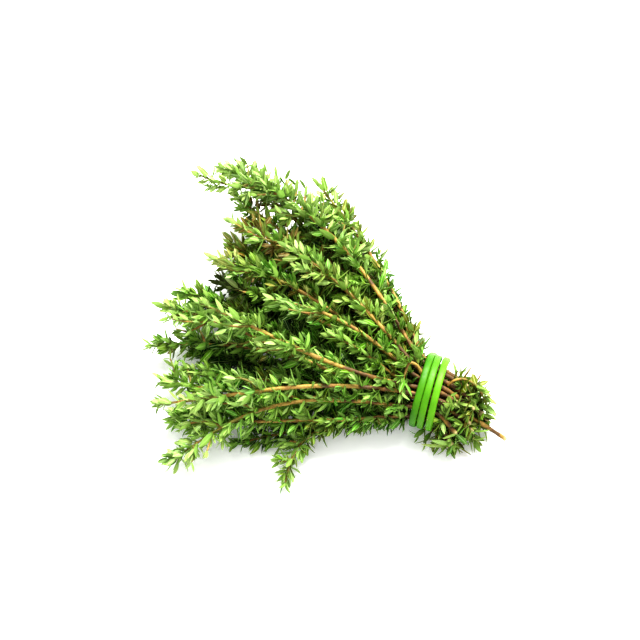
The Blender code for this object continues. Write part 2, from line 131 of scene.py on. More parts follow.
# %% The sprigs' table
# Lengths in millimetres, angles in degrees. fan, reach: where the tip lies, seen from the waist.
# out, end: the way the stem points as it leaves the band, and at its tip. crest, tip: its height
# halfway, and at its tip. tail, tail_turn: how far its cut end is past the waist, and which way.
COLUMNS = ("fan", "reach", "out", "end", "crest", "tip", "tail", "tail_turn", "shoots")
# Each layer's freshness number is partly the sprigs' age and partly painted light: the lower the
# layer, the lower the number, and the darker its leaves and stems are painted, as the shade that
# the sprigs above cast.
LAYERS = {
    "top": {
        "waist": 22.6, "half_width": 6.6, "freshness_and_light": 1.0,
        "sprigs": [
            (33, 138, 45, 12, 31, 24, 14, -12, (30, 14)),
            (29, 86, 31, 24, 36, 30, 18, -12, (16,)),
            (10, 74, 20, 0, 39, 34, 20, -12, (15,)),
            (3, 103, -14, 16, 41, 28, 13, -12, (16, 14)),
            (-20, 113, -12, -10, 37, 16, 11, -12, (18, 15)),
        ],
    },
    "upper": {
        "waist": 17.9, "half_width": 10.5, "freshness_and_light": 0.8,
        "sprigs": [
            (48, 108, 53, 42, 25, 22, 15, -18, (17, 13)),
            (27, 117, 33, 12, 26, 18, 21, -15, (16, 14)),
            (18, 113, 22, 8, 28, 15, 24, -12, (15,)),
            (6, 46, 0, 7, 34, 31, 15, -12, ()),
            (2, 119, -6, 6, 30, 20, 20, -12, (17, 14)),
            (-32, 112, -14, -48, 29, 8, 17, -32, (17, 15)),
        ],
    },
    "middle": {
        "waist": 13.3, "half_width": 11.9, "freshness_and_light": 0.55,
        "sprigs": [
            (42, 104, 51, 34, 19, 14, 16, -20, (15,)),
            (32, 126, 38, 26, 20, 17, 23, -12, (17, 14)),
            (14, 106, 18, 6, 21, 13, 27, -12, (15,)),
            (-5, 121, -2, -14, 21, 9, 36, -9, (16, 14)),
            (-13, 113, -13, 2, 19, 10, 22, -12, (15,)),
            (-25, 104, -26, -20, 18, 11, 18, -44, (16, 15)),
        ],
    },
    "lower": {
        "waist": 8.7, "half_width": 10.6, "freshness_and_light": 0.3,
        "sprigs": [
            (47, 88, 50, 38, 12, 9, 18, -14, (14,)),
            (24, 112, 28, 16, 13, 9, 24, -12, (16,)),
            (9, 116, 8, 10, 13, 10, 22, -12, (16, 13)),
            (-21, 108, -19, -18, 13, 7, 24, -24, (16,)),
            (-48, 71, -26, -100, 11, 3.6, 18, -52, (13,)),
        ],
    },
    "bottom": {
        "waist": 4.2, "half_width": 6.2, "freshness_and_light": 0.1,
        "sprigs": [
            (36, 98, 38, 26, 5, 4, 18, -12, (14,)),
            (16, 98, 18, 10, 5, 4, 22, -12, (14,)),
            (-2, 104, -4, 2, 5, 4, 20, -24, (14,)),
            (-30, 84, -27, -30, 5, 4, 18, -46, (14,)),
        ],
    },
}
print("sprigs in each layer:", [len(layer["sprigs"]) for layer in LAYERS.values()])


# %% Helpers for smooth lines
def plan_direction(degrees):
    """The level unit vector that points this many degrees from -X towards +Y."""
    angle = math.radians(degrees)
    return Vector((-math.cos(angle), math.sin(angle), 0.0))


def bezier(a, b, c, d, share):
    """The point this share of the way along a curve from a to d that b and c pull on."""
    rest = 1 - share
    return a * rest**3 + b * 3 * rest**2 * share + c * 3 * rest * share**2 + d * share**3


def evenly_spaced(points, step):
    """The same line with its points a step apart, or a little less."""
    lengths = [0.0]
    for before, after in zip(points, points[1:]):
        lengths.append(lengths[-1] + (after - before).length)
    count = max(2, math.ceil(lengths[-1] / step))
    spaced, at = [points[0]], 0
    for index in range(1, count):
        wanted = lengths[-1] * index / count
        while lengths[at + 1] < wanted:
            at += 1
        share = (wanted - lengths[at]) / (lengths[at + 1] - lengths[at])
        spaced.append(points[at].lerp(points[at + 1], share))
    return spaced + [points[-1]]


def relaxed(points, rounds):
    """The line with its corners eased, its ends left where they are."""
    for _ in range(rounds):
        inner = [(a + b * 2 + c) / 4 for a, b, c in zip(points, points[1:], points[2:])]
        points = [points[0], *inner, points[-1]]
    return points


print("30 degrees from the bunch's axis is", [round(part, 2) for part in plan_direction(30)])

# %% From a row to a line
STEM_RADIUS_CUT = 1.05
STRAIGHT_THROUGH_BAND = 6.5
WAIST_FAN_SHARE = 0.25
HANDLE_SHARE = 0.38
TAIL_DROOP = 0.8
TAIL_DROOP_POWER = 1.6
LONGEST_TAIL = 36.0
LINE_STEP = 2.0
LINE_EASING_ROUNDS = 3
TAIL_STEPS, FAN_STEPS = 10, 40
TABLE_CLEARANCE = 0.1


def tail_point(slot, sprig, past):
    """The stem's centre line this far past the waist on its cut side."""
    straight = min(past, STRAIGHT_THROUGH_BAND)
    point = slot - plan_direction(sprig["out"] * WAIST_FAN_SHARE) * straight
    point -= plan_direction(-sprig["tail_turn"]) * (past - straight)
    droop = TAIL_DROOP * (past / LONGEST_TAIL) ** TAIL_DROOP_POWER
    point.z = max(slot.z * (1 - droop), STEM_RADIUS_CUT + TABLE_CLEARANCE)
    return point


def stem_line(sprig, slot):
    """The stem's centre line in millimetres from the waist, from its cut end to its tip."""
    crest, reach, tail = sprig["crest"], sprig["reach"], sprig["tail"]
    leaves_band = slot + plan_direction(sprig["out"] * WAIST_FAN_SHARE) * STRAIGHT_THROUGH_BAND
    tip = plan_direction(sprig["fan"]) * reach
    tip.z = sprig["tip"]
    first = leaves_band + plan_direction(sprig["out"]) * (HANDLE_SHARE * reach)
    first.z = (crest * 2 + slot.z) / 3
    second = tip - plan_direction(sprig["end"]) * (HANDLE_SHARE * reach)
    second.z = crest
    line = [tail_point(slot, sprig, tail * (1 - i / TAIL_STEPS)) for i in range(TAIL_STEPS + 1)]
    line += [bezier(leaves_band, first, second, tip, i / FAN_STEPS) for i in range(FAN_STEPS + 1)]
    return relaxed(evenly_spaced(line, LINE_STEP), LINE_EASING_ROUNDS)


def plan_sprigs():
    """Every sprig by name: its row, its layer's number for age and painted light, and its line."""
    planned = {}
    for layer_name, layer in LAYERS.items():
        rows = layer["sprigs"]
        for index, row in enumerate(rows):
            sprig = dict(zip(COLUMNS, row))
            y = layer["half_width"] * (1 - 2 * index / (len(rows) - 1))
            sprig["line"] = stem_line(sprig, Vector((0, y, layer["waist"])))
            sprig["freshness_and_light"] = layer["freshness_and_light"]
            planned[f"{layer_name}_{index + 1}"] = sprig
    return planned


sprigs = plan_sprigs()
longest = max(len(sprig["line"]) for sprig in sprigs.values())
print(len(sprigs), "stems, the longest line has", longest, "points")

# %% [markdown]
# ## Side shoots
# A thyme stem branches: a shoot leaves it at a slant and bends round to run beside it. The solids
# already have these shoots. Each was tried at several places round its stem until it had room, so
# the same trials are made here, and the one that the solid really has is kept.

# %% Walk along a stem
STEM_TURN = 0.6
STEM_TOLERANCE = 0.3
STEM_SEED = 7


def simplified(points, tolerance):
    """The line with only the points that its shape needs."""
    start, end = points[0], points[-1]
    chord = (end - start).normalized()
    offsets = [(point - start) - chord * chord.dot(point - start) for point in points]
    worst = max(range(len(points)), key=lambda index: offsets[index].length)
    if offsets[worst].length < tolerance:
        return [start, end]
    return simplified(points[:worst + 1], tolerance)[:-1] + simplified(points[worst:], tolerance)


class Stem:
    """A centre line in metres that can be asked for its point, heading and side at any place."""

    def __init__(self, line, turned):
        self.line = [point * MM for point in reversed(line)]
        self.turned = turned
        spans = [near - far for near, far in zip(self.line, self.line[1:])]
        headings = [span.normalized() for span in spans]
        between = [(a + b).normalized() for a, b in zip(headings, headings[1:])]
        self.headings = [headings[0], *between, headings[-1]]
        self.lengths = [0.0]
        for span in spans:
            self.lengths.append(self.lengths[-1] + span.length)

    def at(self, distance):
        """The point and the heading towards the tip, this far from the tip."""
        index = 0
        while index < len(self.line) - 2 and self.lengths[index + 1] < distance:
            index += 1
        share = (distance - self.lengths[index]) / (self.lengths[index + 1] - self.lengths[index])
        point = self.line[index].lerp(self.line[index + 1], share)
        return point, self.headings[index].lerp(self.headings[index + 1], share).normalized()

    def side(self, distance, azimuth):
        """The unit vector out of the stem, this far round it."""
        _, heading = self.at(distance)
        level = heading.cross(Vector((0, 0, 1))).normalized()
        upward = level.cross(heading).normalized()
        angle = azimuth + self.turned
        return upward * math.cos(angle) + level * math.sin(angle)


# %% Find the solids' own shoots
SHOOT_LEANS_DEG = (52, 37, 23, 14)
FIRST_SHOOT_FROM_TIP = 24.0
SHOOT_SPACING = 20.0
SHOOT_PLACE_CHANCE = 3.0
SHOOT_TURN_CHANCE = 0.4
SHOOT_TURNS = (30, -30, 60, -60, 0, 100, -100, 140, -140)
GROWTH_SEED = 100
ON_THE_SOLID = 0.6


def shoot_line(stem, distance, azimuth, length, leans=SHOOT_LEANS_DEG):
    """A side shoot that leaves the stem at a slant and bends round to run beside it."""
    point, along = stem.at(distance)
    outward = stem.side(distance, azimuth)
    line = [point / MM]
    for lean in leans:
        angle = math.radians(lean)
        direction = along * math.cos(angle) + outward * math.sin(angle)
        line.append(line[-1] + direction * (length / len(leans)))
    return line


def is_on(solid, line):
    """True if every point of the line, in millimetres from the waist, is on or in the solid."""
    for point in line:
        found, nearest, _, _ = solid.closest_point_on_mesh(WAIST + point * MM)
        if not found or (nearest - WAIST - point * MM).length > ON_THE_SOLID * MM:
            return False
    return True


def find_shoots(name, sprig, stem, dice):
    """The lines of the side shoots that the solid has."""
    found = []
    for index, length in enumerate(sprig["shoots"]):
        place = FIRST_SHOOT_FROM_TIP + SHOOT_SPACING * index
        distance = (place + dice.uniform(-SHOOT_PLACE_CHANCE, SHOOT_PLACE_CHANCE)) * MM
        inward = math.copysign(math.pi / 2, -sprig["fan"]) - stem.turned
        for turn in SHOOT_TURNS:
            azimuth = inward + math.radians(turn) * (-1) ** index
            azimuth += dice.uniform(-SHOOT_TURN_CHANCE, SHOOT_TURN_CHANCE)
            line = shoot_line(stem, distance, azimuth, length)
            if is_on(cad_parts["sprig_" + name], line[1:]):
                found.append(line)
                break
    return found


turn_dice = random.Random(STEM_SEED)
for number, (name, sprig) in enumerate(sprigs.items()):
    turned = turn_dice.uniform(-STEM_TURN, STEM_TURN)
    sprig["stem"] = Stem(simplified(sprig["line"], STEM_TOLERANCE), turned)
    dice = random.Random(GROWTH_SEED + number)
    sprig["shoot_lines"] = find_shoots(name, sprig, sprig["stem"], dice)
found = sum(len(sprig["shoot_lines"]) for sprig in sprigs.values())
print(found, "side shoots found of", sum(len(sprig["shoots"]) for sprig in sprigs.values()))

# %% [markdown]
# ## Materials
# Every finish is a Principled shader fed by procedural nodes. A small helper adds a node and wires
# it in one call, for shader trees and Geometry Nodes alike, which keeps each tree readable.

# %% A helper for node trees
class Tree:
    """A node tree written as calls: each adds one node and gives back the node or an output."""

    def __init__(self, nodes, links):
        self.nodes, self.links = nodes, links

    def feed(self, socket, value):
        """Wires an output into the socket, or sets the socket's own value."""
        if isinstance(value, bpy.types.NodeSocket):
            self.links.new(value, socket)
        elif socket.type == "RGBA" and len(value) == 3:
            socket.default_value = (*value, 1.0)
        else:
            socket.default_value = value

    def find(self, sockets, name):
        """The socket with this identifier or name."""
        return next(socket for socket in sockets if name in (socket.identifier, socket.name))

    def node(self, kind, feeds=(), **settings):
        made = self.nodes.new(kind)
        for name, value in settings.items():
            setattr(made, name, value)
        for name, value in dict(feeds).items():
            self.feed(self.find(made.inputs, name), value)
        return made

    def out(self, kind, feeds=(), output=None, **settings):
        made = self.node(kind, feeds, **settings)
        return self.find(made.outputs, output) if output else made.outputs[0]

    def math(self, operation, a, b=0.0):
        return self.out("ShaderNodeMath", {"Value": a, "Value_001": b}, operation=operation)

    def plus(self, value, *others):
        for other in others:
            value = self.math("ADD", value, other)
        return value

    def times(self, value, *others):
        for other in others:
            value = self.math("MULTIPLY", value, other)
        return value

    def minus(self, a, b):
        return self.math("SUBTRACT", a, b)

    def over(self, a, b):
        return self.math("DIVIDE", a, b)

    def apart(self, vector):
        """The vector's X, Y and Z."""
        return self.node("ShaderNodeSeparateXYZ", {"Vector": vector}).outputs

    def spread(self, value, low, high, to_low=0.0, to_high=1.0, smooth=False):
        """The value's place between low and high, as a number between the other two."""
        names = ("Value", "From Min", "From Max", "To Min", "To Max")
        feeds = dict(zip(names, (value, low, high, to_low, to_high)))
        kind = "SMOOTHSTEP" if smooth else "LINEAR"
        return self.out("ShaderNodeMapRange", feeds, interpolation_type=kind)


# %% A helper for finishes
CLOUD_LOW, CLOUD_HIGH = 0.3, 0.7


class Finish(Tree):
    """A material's node tree, with its Principled shader at hand."""

    def __init__(self, name, **constants):
        self.material = bpy.data.materials.new(name)
        self.material.use_nodes = True
        super().__init__(self.material.node_tree.nodes, self.material.node_tree.links)
        self.shader = self.nodes["Principled BSDF"]
        self.give(**constants)

    def give(self, **values):
        """Sets or wires the shader's sockets, by their names with _ for a space."""
        for name, value in values.items():
            self.feed(self.shader.inputs[name.replace("_", " ")], value)

    def attribute(self, name):
        return self.out("ShaderNodeAttribute", output="Fac", attribute_name=name)

    def mix(self, share, a, b, blend="MIX"):
        feeds = {"Factor_Float": share, "A_Color": a, "B_Color": b}
        output = "Result_Color"
        return self.out("ShaderNodeMix", feeds, output, data_type="RGBA", blend_type=blend)

    def tinted(self, colour, tint, share=1.0):
        """The colour multiplied by another, or by a number."""
        return self.mix(share, colour, tint, blend="MULTIPLY")

    def ramp(self, share, stops):
        """A colour from a list of (place, colour) stops."""
        made = self.node("ShaderNodeValToRGB", {"Fac": share})
        elements = made.color_ramp.elements
        while len(elements) < len(stops):
            elements.new(0.5)
        for element, (place, colour) in zip(elements, stops):
            element.position, element.color = place, (*colour, 1.0)
        return made.outputs["Color"]

    def noise(self, scale, detail=2.0):
        place = self.out("ShaderNodeTexCoord", output="Object")
        return self.out("ShaderNodeTexNoise", {"Vector": place, "Scale": scale, "Detail": detail})

    def cloud(self, scale, low, high, detail=2.0):
        """Noise as a number that drifts between low and high."""
        return self.spread(self.noise(scale, detail), CLOUD_LOW, CLOUD_HIGH, low, high)

    def bump(self, height, distance, strength):
        feeds = {"Height": height, "Distance": distance, "Strength": strength}
        self.give(Normal=self.out("ShaderNodeBump", feeds))


# %% [markdown]
# A thyme leaf is dark green and dull, with a pale sunken midrib, pale rolled edges and tiny oil
# glands. Its flanks are painted darker as shade, and its pale midrib and rim also carry a painted
# highlight. Young leaves at the tips are lighter and greyer, and leaves low in the bunch are
# painted darker for the shade they lie in. Neighbours differ in hue, old ones turn olive in
# patches, and a
# dry one is brown. Every leaf carries numbers for this, made as it grows:
# - `across` runs from -1 to 1 over the blade, `upper` is 1 on its upper face and 0 below;
# - `inner` is 1 on the last leaves of a tuft, `youth` is 1 at a stem's tip;
# - the freshness number grows towards the outermost sprigs and the tips: it is partly the leaves'
#   age and partly painted light, low for the shaded sprigs low in the bunch; `tone` is one random
#   number a leaf;
# - `dry` is 1 past the band and 2 on a browned leaf, `wilted` is 1 at a blackened tip.

# %% The leaf's colour
# The oldest green is also the painted shade of leaves low in the bunch, and the youngest also the
# painted light on the top sprigs.
LEAF_OLD_AND_SHADED = (0.009, 0.062, 0.001)
LEAF_GROWN = (0.126, 0.358, 0.010)
LEAF_YOUNG_AND_LIT = (0.410, 0.572, 0.180)
LEAF_OLIVE = (0.220, 0.150, 0.008)
LEAF_BROWN = (0.260, 0.110, 0.022)
# Ripeness goes from old at 0 to young at 1, and through the freshness number also from painted
# shade to painted light: these are the shares of it that each number gives.
SHARES_OF_RIPENESS_AND_LIGHT = {"youth": 0.40, "fresh": 0.50, "inner": 0.20}
TONE_MIDDLE, TONE_RIPENS = 0.70, 0.60
GREENS = [(0.05, LEAF_OLD_AND_SHADED), (0.42, LEAF_GROWN), (0.95, LEAF_YOUNG_AND_LIT)]
# What the blade's colour is multiplied by, leaf by leaf, between these two.
YELLOWER = (1.50, 1.0, 0.65)
BLUER = (0.54, 1.0, 1.32)
HUE_BY_LEAF, HUE_BY_PLACE = 0.6, 0.4
HUE_CYCLES = 7.0
OLIVE_IN_PATCHES, OLIVE_WHERE_DRY = 0.8, 0.30
BROWN_WHERE_BROWNED = 0.80


def leaf_green(leaf, tone, dry):
    """The blade's colour before its veins: how ripe it is, painted shade and light, age, dryness,
    hue and mottle.
    """
    shares = [leaf.times(leaf.attribute(name), share) for name, share in SHARES_OF_RIPENESS_AND_LIGHT.items()]
    ripeness_and_light = leaf.plus(*shares, leaf.times(leaf.minus(tone, TONE_MIDDLE), TONE_RIPENS))
    green = leaf.ramp(ripeness_and_light, GREENS)
    patches = leaf.spread(leaf.noise(60.0), 0.50, 0.70, 0.0, OLIVE_IN_PATCHES)
    aged = leaf.times(patches, leaf.spread(ripeness_and_light, 0.20, 0.85, 1.0, 0.0))
    aged = leaf.plus(aged, leaf.spread(dry, 0.0, 1.0, 0.0, OLIVE_WHERE_DRY))
    green = leaf.mix(aged, green, LEAF_OLIVE)
    browned = leaf.spread(dry, 1.0, 2.0, 0.0, BROWN_WHERE_BROWNED)
    green = leaf.mix(browned, green, LEAF_BROWN)
    hue = leaf.times(leaf.math("FRACT", leaf.times(tone, HUE_CYCLES)), HUE_BY_LEAF)
    hue = leaf.plus(hue, leaf.spread(leaf.noise(45.0), 0.35, 0.65, 0.0, HUE_BY_PLACE))
    tint = leaf.mix(hue, YELLOWER, BLUER)
    green = leaf.tinted(green, tint, leaf.spread(ripeness_and_light, 0.4, 0.8, 1.0, 0.25))
    return leaf.tinted(green, leaf.cloud(900.0, 0.82, 1.16))


print("a leaf's green goes through", len(GREENS), "stops, from old to young")

# %% The leaf's finish
# The pale colour of the midrib and rim is partly the leaf's own and partly a painted highlight; the
# flanks between them get painted shade.
LEAF_RIB_RIM_AND_HIGHLIGHT = (0.560, 0.660, 0.320)
LEAF_UNDERSIDE = (0.230, 0.370, 0.080)
LEAF_WILTED = (0.030, 0.026, 0.010)
FLANK_PAINTED_SHADE, PALE_RIB_AND_HIGHLIGHT, PALE_RIM_AND_HIGHLIGHT = 0.74, 0.60, 0.30
UNDERSIDE_MIX = 0.5
BLACK_WHERE_WILTED = 0.85


def leaf_finish():
    leaf = Finish(
        "thyme leaf", Roughness=0.42, Specular_IOR_Level=0.20, Subsurface_Weight=0.04,
        Subsurface_Scale=0.0005, Subsurface_Radius=(0.5, 1.0, 0.2),
    )
    tone = leaf.attribute("tone")
    across = leaf.math("ABSOLUTE", leaf.attribute("across"))
    face = leaf_green(leaf, tone, leaf.attribute("dry"))
    # Painted shade darkens the flanks; the midrib and rim are made paler, partly as a painted
    # highlight.
    face = leaf.tinted(face, leaf.spread(across, 0.12, 0.45, 1.0, FLANK_PAINTED_SHADE))
    rib_and_highlight = leaf.spread(across, 0.03, 0.20, PALE_RIB_AND_HIGHLIGHT, 0.0)
    rim = leaf.spread(across, 0.80, 1.0, 0.0, PALE_RIM_AND_HIGHLIGHT)
    face = leaf.mix(leaf.plus(rib_and_highlight, rim), face, LEAF_RIB_RIM_AND_HIGHLIGHT)
    below = leaf.mix(leaf.times(tone, UNDERSIDE_MIX), LEAF_UNDERSIDE, face)
    both = leaf.mix(leaf.spread(leaf.attribute("upper"), 0.3, 0.6), below, face)
    wilted = leaf.times(leaf.attribute("wilted"), BLACK_WHERE_WILTED)
    leaf.give(Base_Color=leaf.mix(wilted, both, LEAF_WILTED))
    leaf.bump(leaf.spread(leaf.noise(2600.0, 1.0), 0.55, 0.75), 0.00006, 0.5)
    return leaf.material


leaf_material = leaf_finish()
print("the leaf's finish has", len(leaf_material.node_tree.nodes), "nodes")

# %% [markdown]
# The stems are soft and reddish green at the tips, golden tan along the sprigs, and brown wood
# where they pass through the band. `woody` runs from 0 at a tip to 1 at a cut end. Stems low in the
# bunch are painted woodier, as painted shade. Fine streaks run along the bark, and the attribute
# `cut` marks the pale wood of the cut faces.

# %% The bark's finish
STEM_YOUNG = (0.220, 0.190, 0.036)
STEM_TAN = (0.285, 0.148, 0.032)
STEM_GOLD = (0.400, 0.262, 0.056)
STEM_BROWN = (0.125, 0.068, 0.022)
CUT_WOOD = (0.520, 0.420, 0.200)
BARKS = [
    (0.0, STEM_YOUNG), (0.20, STEM_TAN), (0.42, STEM_GOLD), (0.70, STEM_GOLD), (0.82, STEM_TAN),
    (0.98, STEM_BROWN),
]
BARK_PATCHES = 0.38
WOODIER_IN_PAINTED_SHADE = 0.16


def bark_finish():
    bark = Finish("thyme bark", Roughness=0.62)
    patches = bark.cloud(150.0, -BARK_PATCHES, BARK_PATCHES)
    # Painted shade: where the freshness number is low, low in the bunch, the bark is moved towards
    # the woody, browner end of its ramp.
    inside = bark.spread(bark.attribute("fresh"), 0.3, 1.0, WOODIER_IN_PAINTED_SHADE, 0.0)
    colour = bark.ramp(bark.plus(bark.attribute("woody"), patches, inside), BARKS)
    colour = bark.tinted(colour, bark.cloud(1500.0, 0.62, 1.2, detail=3.0))
    bark.give(Base_Color=bark.mix(bark.attribute("cut"), colour, CUT_WOOD))
    bark.bump(bark.noise(1800.0, 3.0), 0.0002, 0.6)
    return bark.material


bark_material = bark_finish()
print("the bark's finish has", len(bark_material.node_tree.nodes), "nodes")

# %% [markdown]
# ## One leaf
# A thyme blade is a narrow ellipse with its edges turned down, a groove along the middle and a
# keel below. It is repeated thousands of times, so it has few faces: a ring of six corners at each
# station along an arched spine, closed at the root and at the tip. The small leaves of the tufts
# have four corners. The pattern is one unit long along +Y with its upper face up, and Geometry
# Nodes scale it to size. Its rim is marked sharp, because smooth shading would make it look fat.

# %% The leaf pattern
LEAF_WIDTH_SHARE = 0.34
LEAF_WIDEST_POWER, LEAF_BLUNT_POWER = 0.86, 0.75
LEAF_THICKNESS_SHARE = 0.035
LEAF_THINS_TO_TIP = 0.5
ON_THE_RIM = 0.5
FULL_STATIONS = (0.12, 0.36, 0.62, 0.85)
SMALL_STATIONS = (0.16, 0.46, 0.78)
# A section's corners: (x, z) in half widths, share of the thickness below, across, upper.
FULL_SECTION = [
    (1.0, -0.16, 0.0, 1.0, 0.5), (0.50, 0.10, 0.0, 0.50, 1.0), (0.0, -0.10, 0.0, 0.0, 1.0),
    (-0.50, 0.10, 0.0, -0.50, 1.0), (-1.0, -0.16, 0.0, -1.0, 0.5), (0.0, -0.20, 1.0, 0.0, 0.0),
]
SMALL_SECTION = [
    (1.0, 0.12, 0.0, 1.0, 0.5), (0.0, -0.06, 0.0, 0.0, 1.0),
    (-1.0, 0.12, 0.0, -1.0, 0.5), (0.0, -0.14, 1.0, 0.0, 0.0),
]


def leaf_half_width(along):
    """Half the blade's width, as a share of its length: a short stalk, then an ellipse."""
    swell = max(math.sin(math.pi * along**LEAF_WIDEST_POWER), 0.0)
    return LEAF_WIDTH_SHARE / 2 * swell**LEAF_BLUNT_POWER


def spine_point(along, arch):
    """A point on the blade's spine, an arc of arch radians in all, and the way up there."""
    angle = arch * along
    place = Vector((0, math.sin(angle) / arch, (math.cos(angle) - 1) / arch))
    return place, Vector((0, math.sin(angle), math.cos(angle)))


def leaf_shape(stations, section, arch, inner=0.0):
    """The blade's points, its faces, and each point's across, inner and upper values."""
    points, values, faces = [Vector((0, 0, 0))], [(0.0, inner, ON_THE_RIM)], []
    for along in stations:
        spine, up = spine_point(along, arch)
        half = leaf_half_width(along)
        thick = LEAF_THICKNESS_SHARE * (1 - LEAF_THINS_TO_TIP * along)
        for x, z, below, across, upper in section:
            points.append(spine + Vector((x * half, 0, 0)) + up * (z * half - below * thick))
            values.append((across, inner, upper))
    points.append(spine_point(1.0, arch)[0])
    values.append((0.0, inner, ON_THE_RIM))
    count, tip = len(section), len(points) - 1
    for corner in range(count):
        after = (corner + 1) % count
        faces.append((0, 1 + corner, 1 + after))
        faces.append((tip, tip - count + after, tip - count + corner))
        for ring in range(1, tip - count, count):
            beyond = ring + count
            faces.append((ring + corner, beyond + corner, beyond + after, ring + after))
    return points, values, faces


widths = [round(2 * leaf_half_width(along), 2) for along in FULL_STATIONS]
print("a blade of length 1 is", widths, "wide at its stations")

# %% From shapes to patterns
LEAF_ARCHES = (0.15, 0.50, 0.90, -0.35)
UNMOVED = Matrix.Identity(4)


def pattern_object(name, shapes):
    """One object of several blades, each given as (shape, where it stands)."""
    points, values, faces = [], [], []
    for (some, their_values, their_faces), place in shapes:
        faces += [tuple(len(points) + corner for corner in face) for face in their_faces]
        points += [place @ point for point in some]
        values += their_values
    mesh = bpy.data.meshes.new(name)
    mesh.from_pydata(points, [], faces)
    for index, attribute in enumerate(("across", "inner", "upper")):
        layer = mesh.attributes.new(attribute, "FLOAT", "POINT")
        layer.data.foreach_set("value", [value[index] for value in values])
    mesh.shade_smooth()
    for edge in mesh.edges:
        edge.use_edge_sharp = all(values[end][2] == ON_THE_RIM for end in edge.vertices)
    mesh.update()
    return bpy.data.objects.new(name, mesh)


def pattern_collection(name, objects):
    """A collection that isn't in the scene, to be instanced from."""
    made = bpy.data.collections.new(name)
    for obj in objects:
        made.objects.link(obj)
    return made


blades = [leaf_shape(FULL_STATIONS, FULL_SECTION, arch) for arch in LEAF_ARCHES]
leaf_patterns = pattern_collection("leaf patterns", [
    pattern_object(f"leaf_{index}", [(blade, UNMOVED)]) for index, blade in enumerate(blades)
])

# %% [markdown]
# ## One tuft
# In the axil of nearly every leaf sits a tuft: a short shoot with a few pairs of small leaves close
# together. It is what makes thyme look bushy. In the pattern, which is about one unit long, the
# pairs stand crosswise like those on a stem, and each is smaller and steeper than the one below it.
# A thin stalk holds them together.

# %% The tuft pattern
STALK_SECTION = [(0.020, 0.0), (0.0, 0.020), (-0.020, 0.0), (0.0, -0.020)]
FIRST_PAIR_AT = 0.22
TUFT_TURN_CHANCE = 0.3
TUFT_LEAN_DEG, TUFT_STEEPENS_DEG, TUFT_LEAN_CHANCE_DEG = 62, 44, 9
TUFT_LEAF_LENGTH, TUFT_LEAF_SHRINKS, TUFT_LEAF_CHANCE = 0.72, 0.18, 0.12
TUFT_SEED = 40
# For each form: its pairs of leaves, its stalk's length, and how far its leaves arch.
TUFT_FORMS = [(3, 0.50, 0.6), (3, 0.42, 0.3), (2, 0.30, 0.7), (4, 0.58, 0.45), (4, 0.55, -0.3)]


def stalk_shape(length):
    """A thin square stalk along +Y, which shows the colour of a leaf's underside."""
    points = [Vector((x, y, z)) for y in (0.0, length) for x, z in STALK_SECTION]
    faces = [(side, (side + 1) % 4, 4 + (side + 1) % 4, 4 + side) for side in range(4)]
    faces += [(3, 2, 1, 0), (4, 5, 6, 7)]
    return points, [(1.0, 0.0, 0.0)] * len(points), [tuple(reversed(face)) for face in faces]


def tuft_shapes(pairs, stalk, arch, dice):
    """The small leaves of one tuft, pair above pair, each pair a quarter turn round."""
    shapes = [(stalk_shape(stalk), UNMOVED)]
    for pair in range(pairs):
        share = pair / (pairs - 1)
        up = stalk * (FIRST_PAIR_AT + (1 - FIRST_PAIR_AT) * share)
        for half in range(2):
            turn = math.pi * (0.5 * pair + half)
            turn += dice.uniform(-TUFT_TURN_CHANCE, TUFT_TURN_CHANCE)
            lean = TUFT_LEAN_DEG - TUFT_STEEPENS_DEG * share
            lean += dice.uniform(-TUFT_LEAN_CHANCE_DEG, TUFT_LEAN_CHANCE_DEG)
            length = TUFT_LEAF_LENGTH - TUFT_LEAF_SHRINKS * share
            length *= dice.uniform(1 - TUFT_LEAF_CHANCE, 1 + TUFT_LEAF_CHANCE)
            place = Matrix.Translation((0, up, 0)) @ Matrix.Rotation(turn, 4, "Y")
            place = place @ Matrix.Rotation(math.radians(lean), 4, "X") @ Matrix.Scale(length, 4)
            shapes.append((leaf_shape(SMALL_STATIONS, SMALL_SECTION, arch, share), place))
    return shapes


tuft_patterns = pattern_collection("tuft patterns", [
    pattern_object(f"tuft_{index}", tuft_shapes(*form, random.Random(TUFT_SEED + index)))
    for index, form in enumerate(TUFT_FORMS)
])

# %% [markdown]
# ## What the leaves must miss
# Leaves push each other aside, but they can't pass through wood or rubber. All the bare stems and
# the band are gathered in one mesh, and each stem's points carry its sprig's number. A leaf sends a
# ray along its own length: where it meets another sprig's stem, the leaf is shortened or left out.

# %% Bare stems and the band
BARE_SIDES = 4
EVERY_OTHER = 2
BAND_OWNER = -1


def ring_round(line, index, radius):
    """A ring of points round the line at one of its points, in metres."""
    along = (line[min(index + 1, len(line) - 1)] - line[max(index - 1, 0)]).normalized()
    level = along.cross(Vector((0, 0, 1))).normalized()
    upward = level.cross(along)
    angles = [2 * math.pi * side / BARE_SIDES for side in range(BARE_SIDES)]
    return [line[index] + (upward * math.cos(a) + level * math.sin(a)) * radius for a in angles]


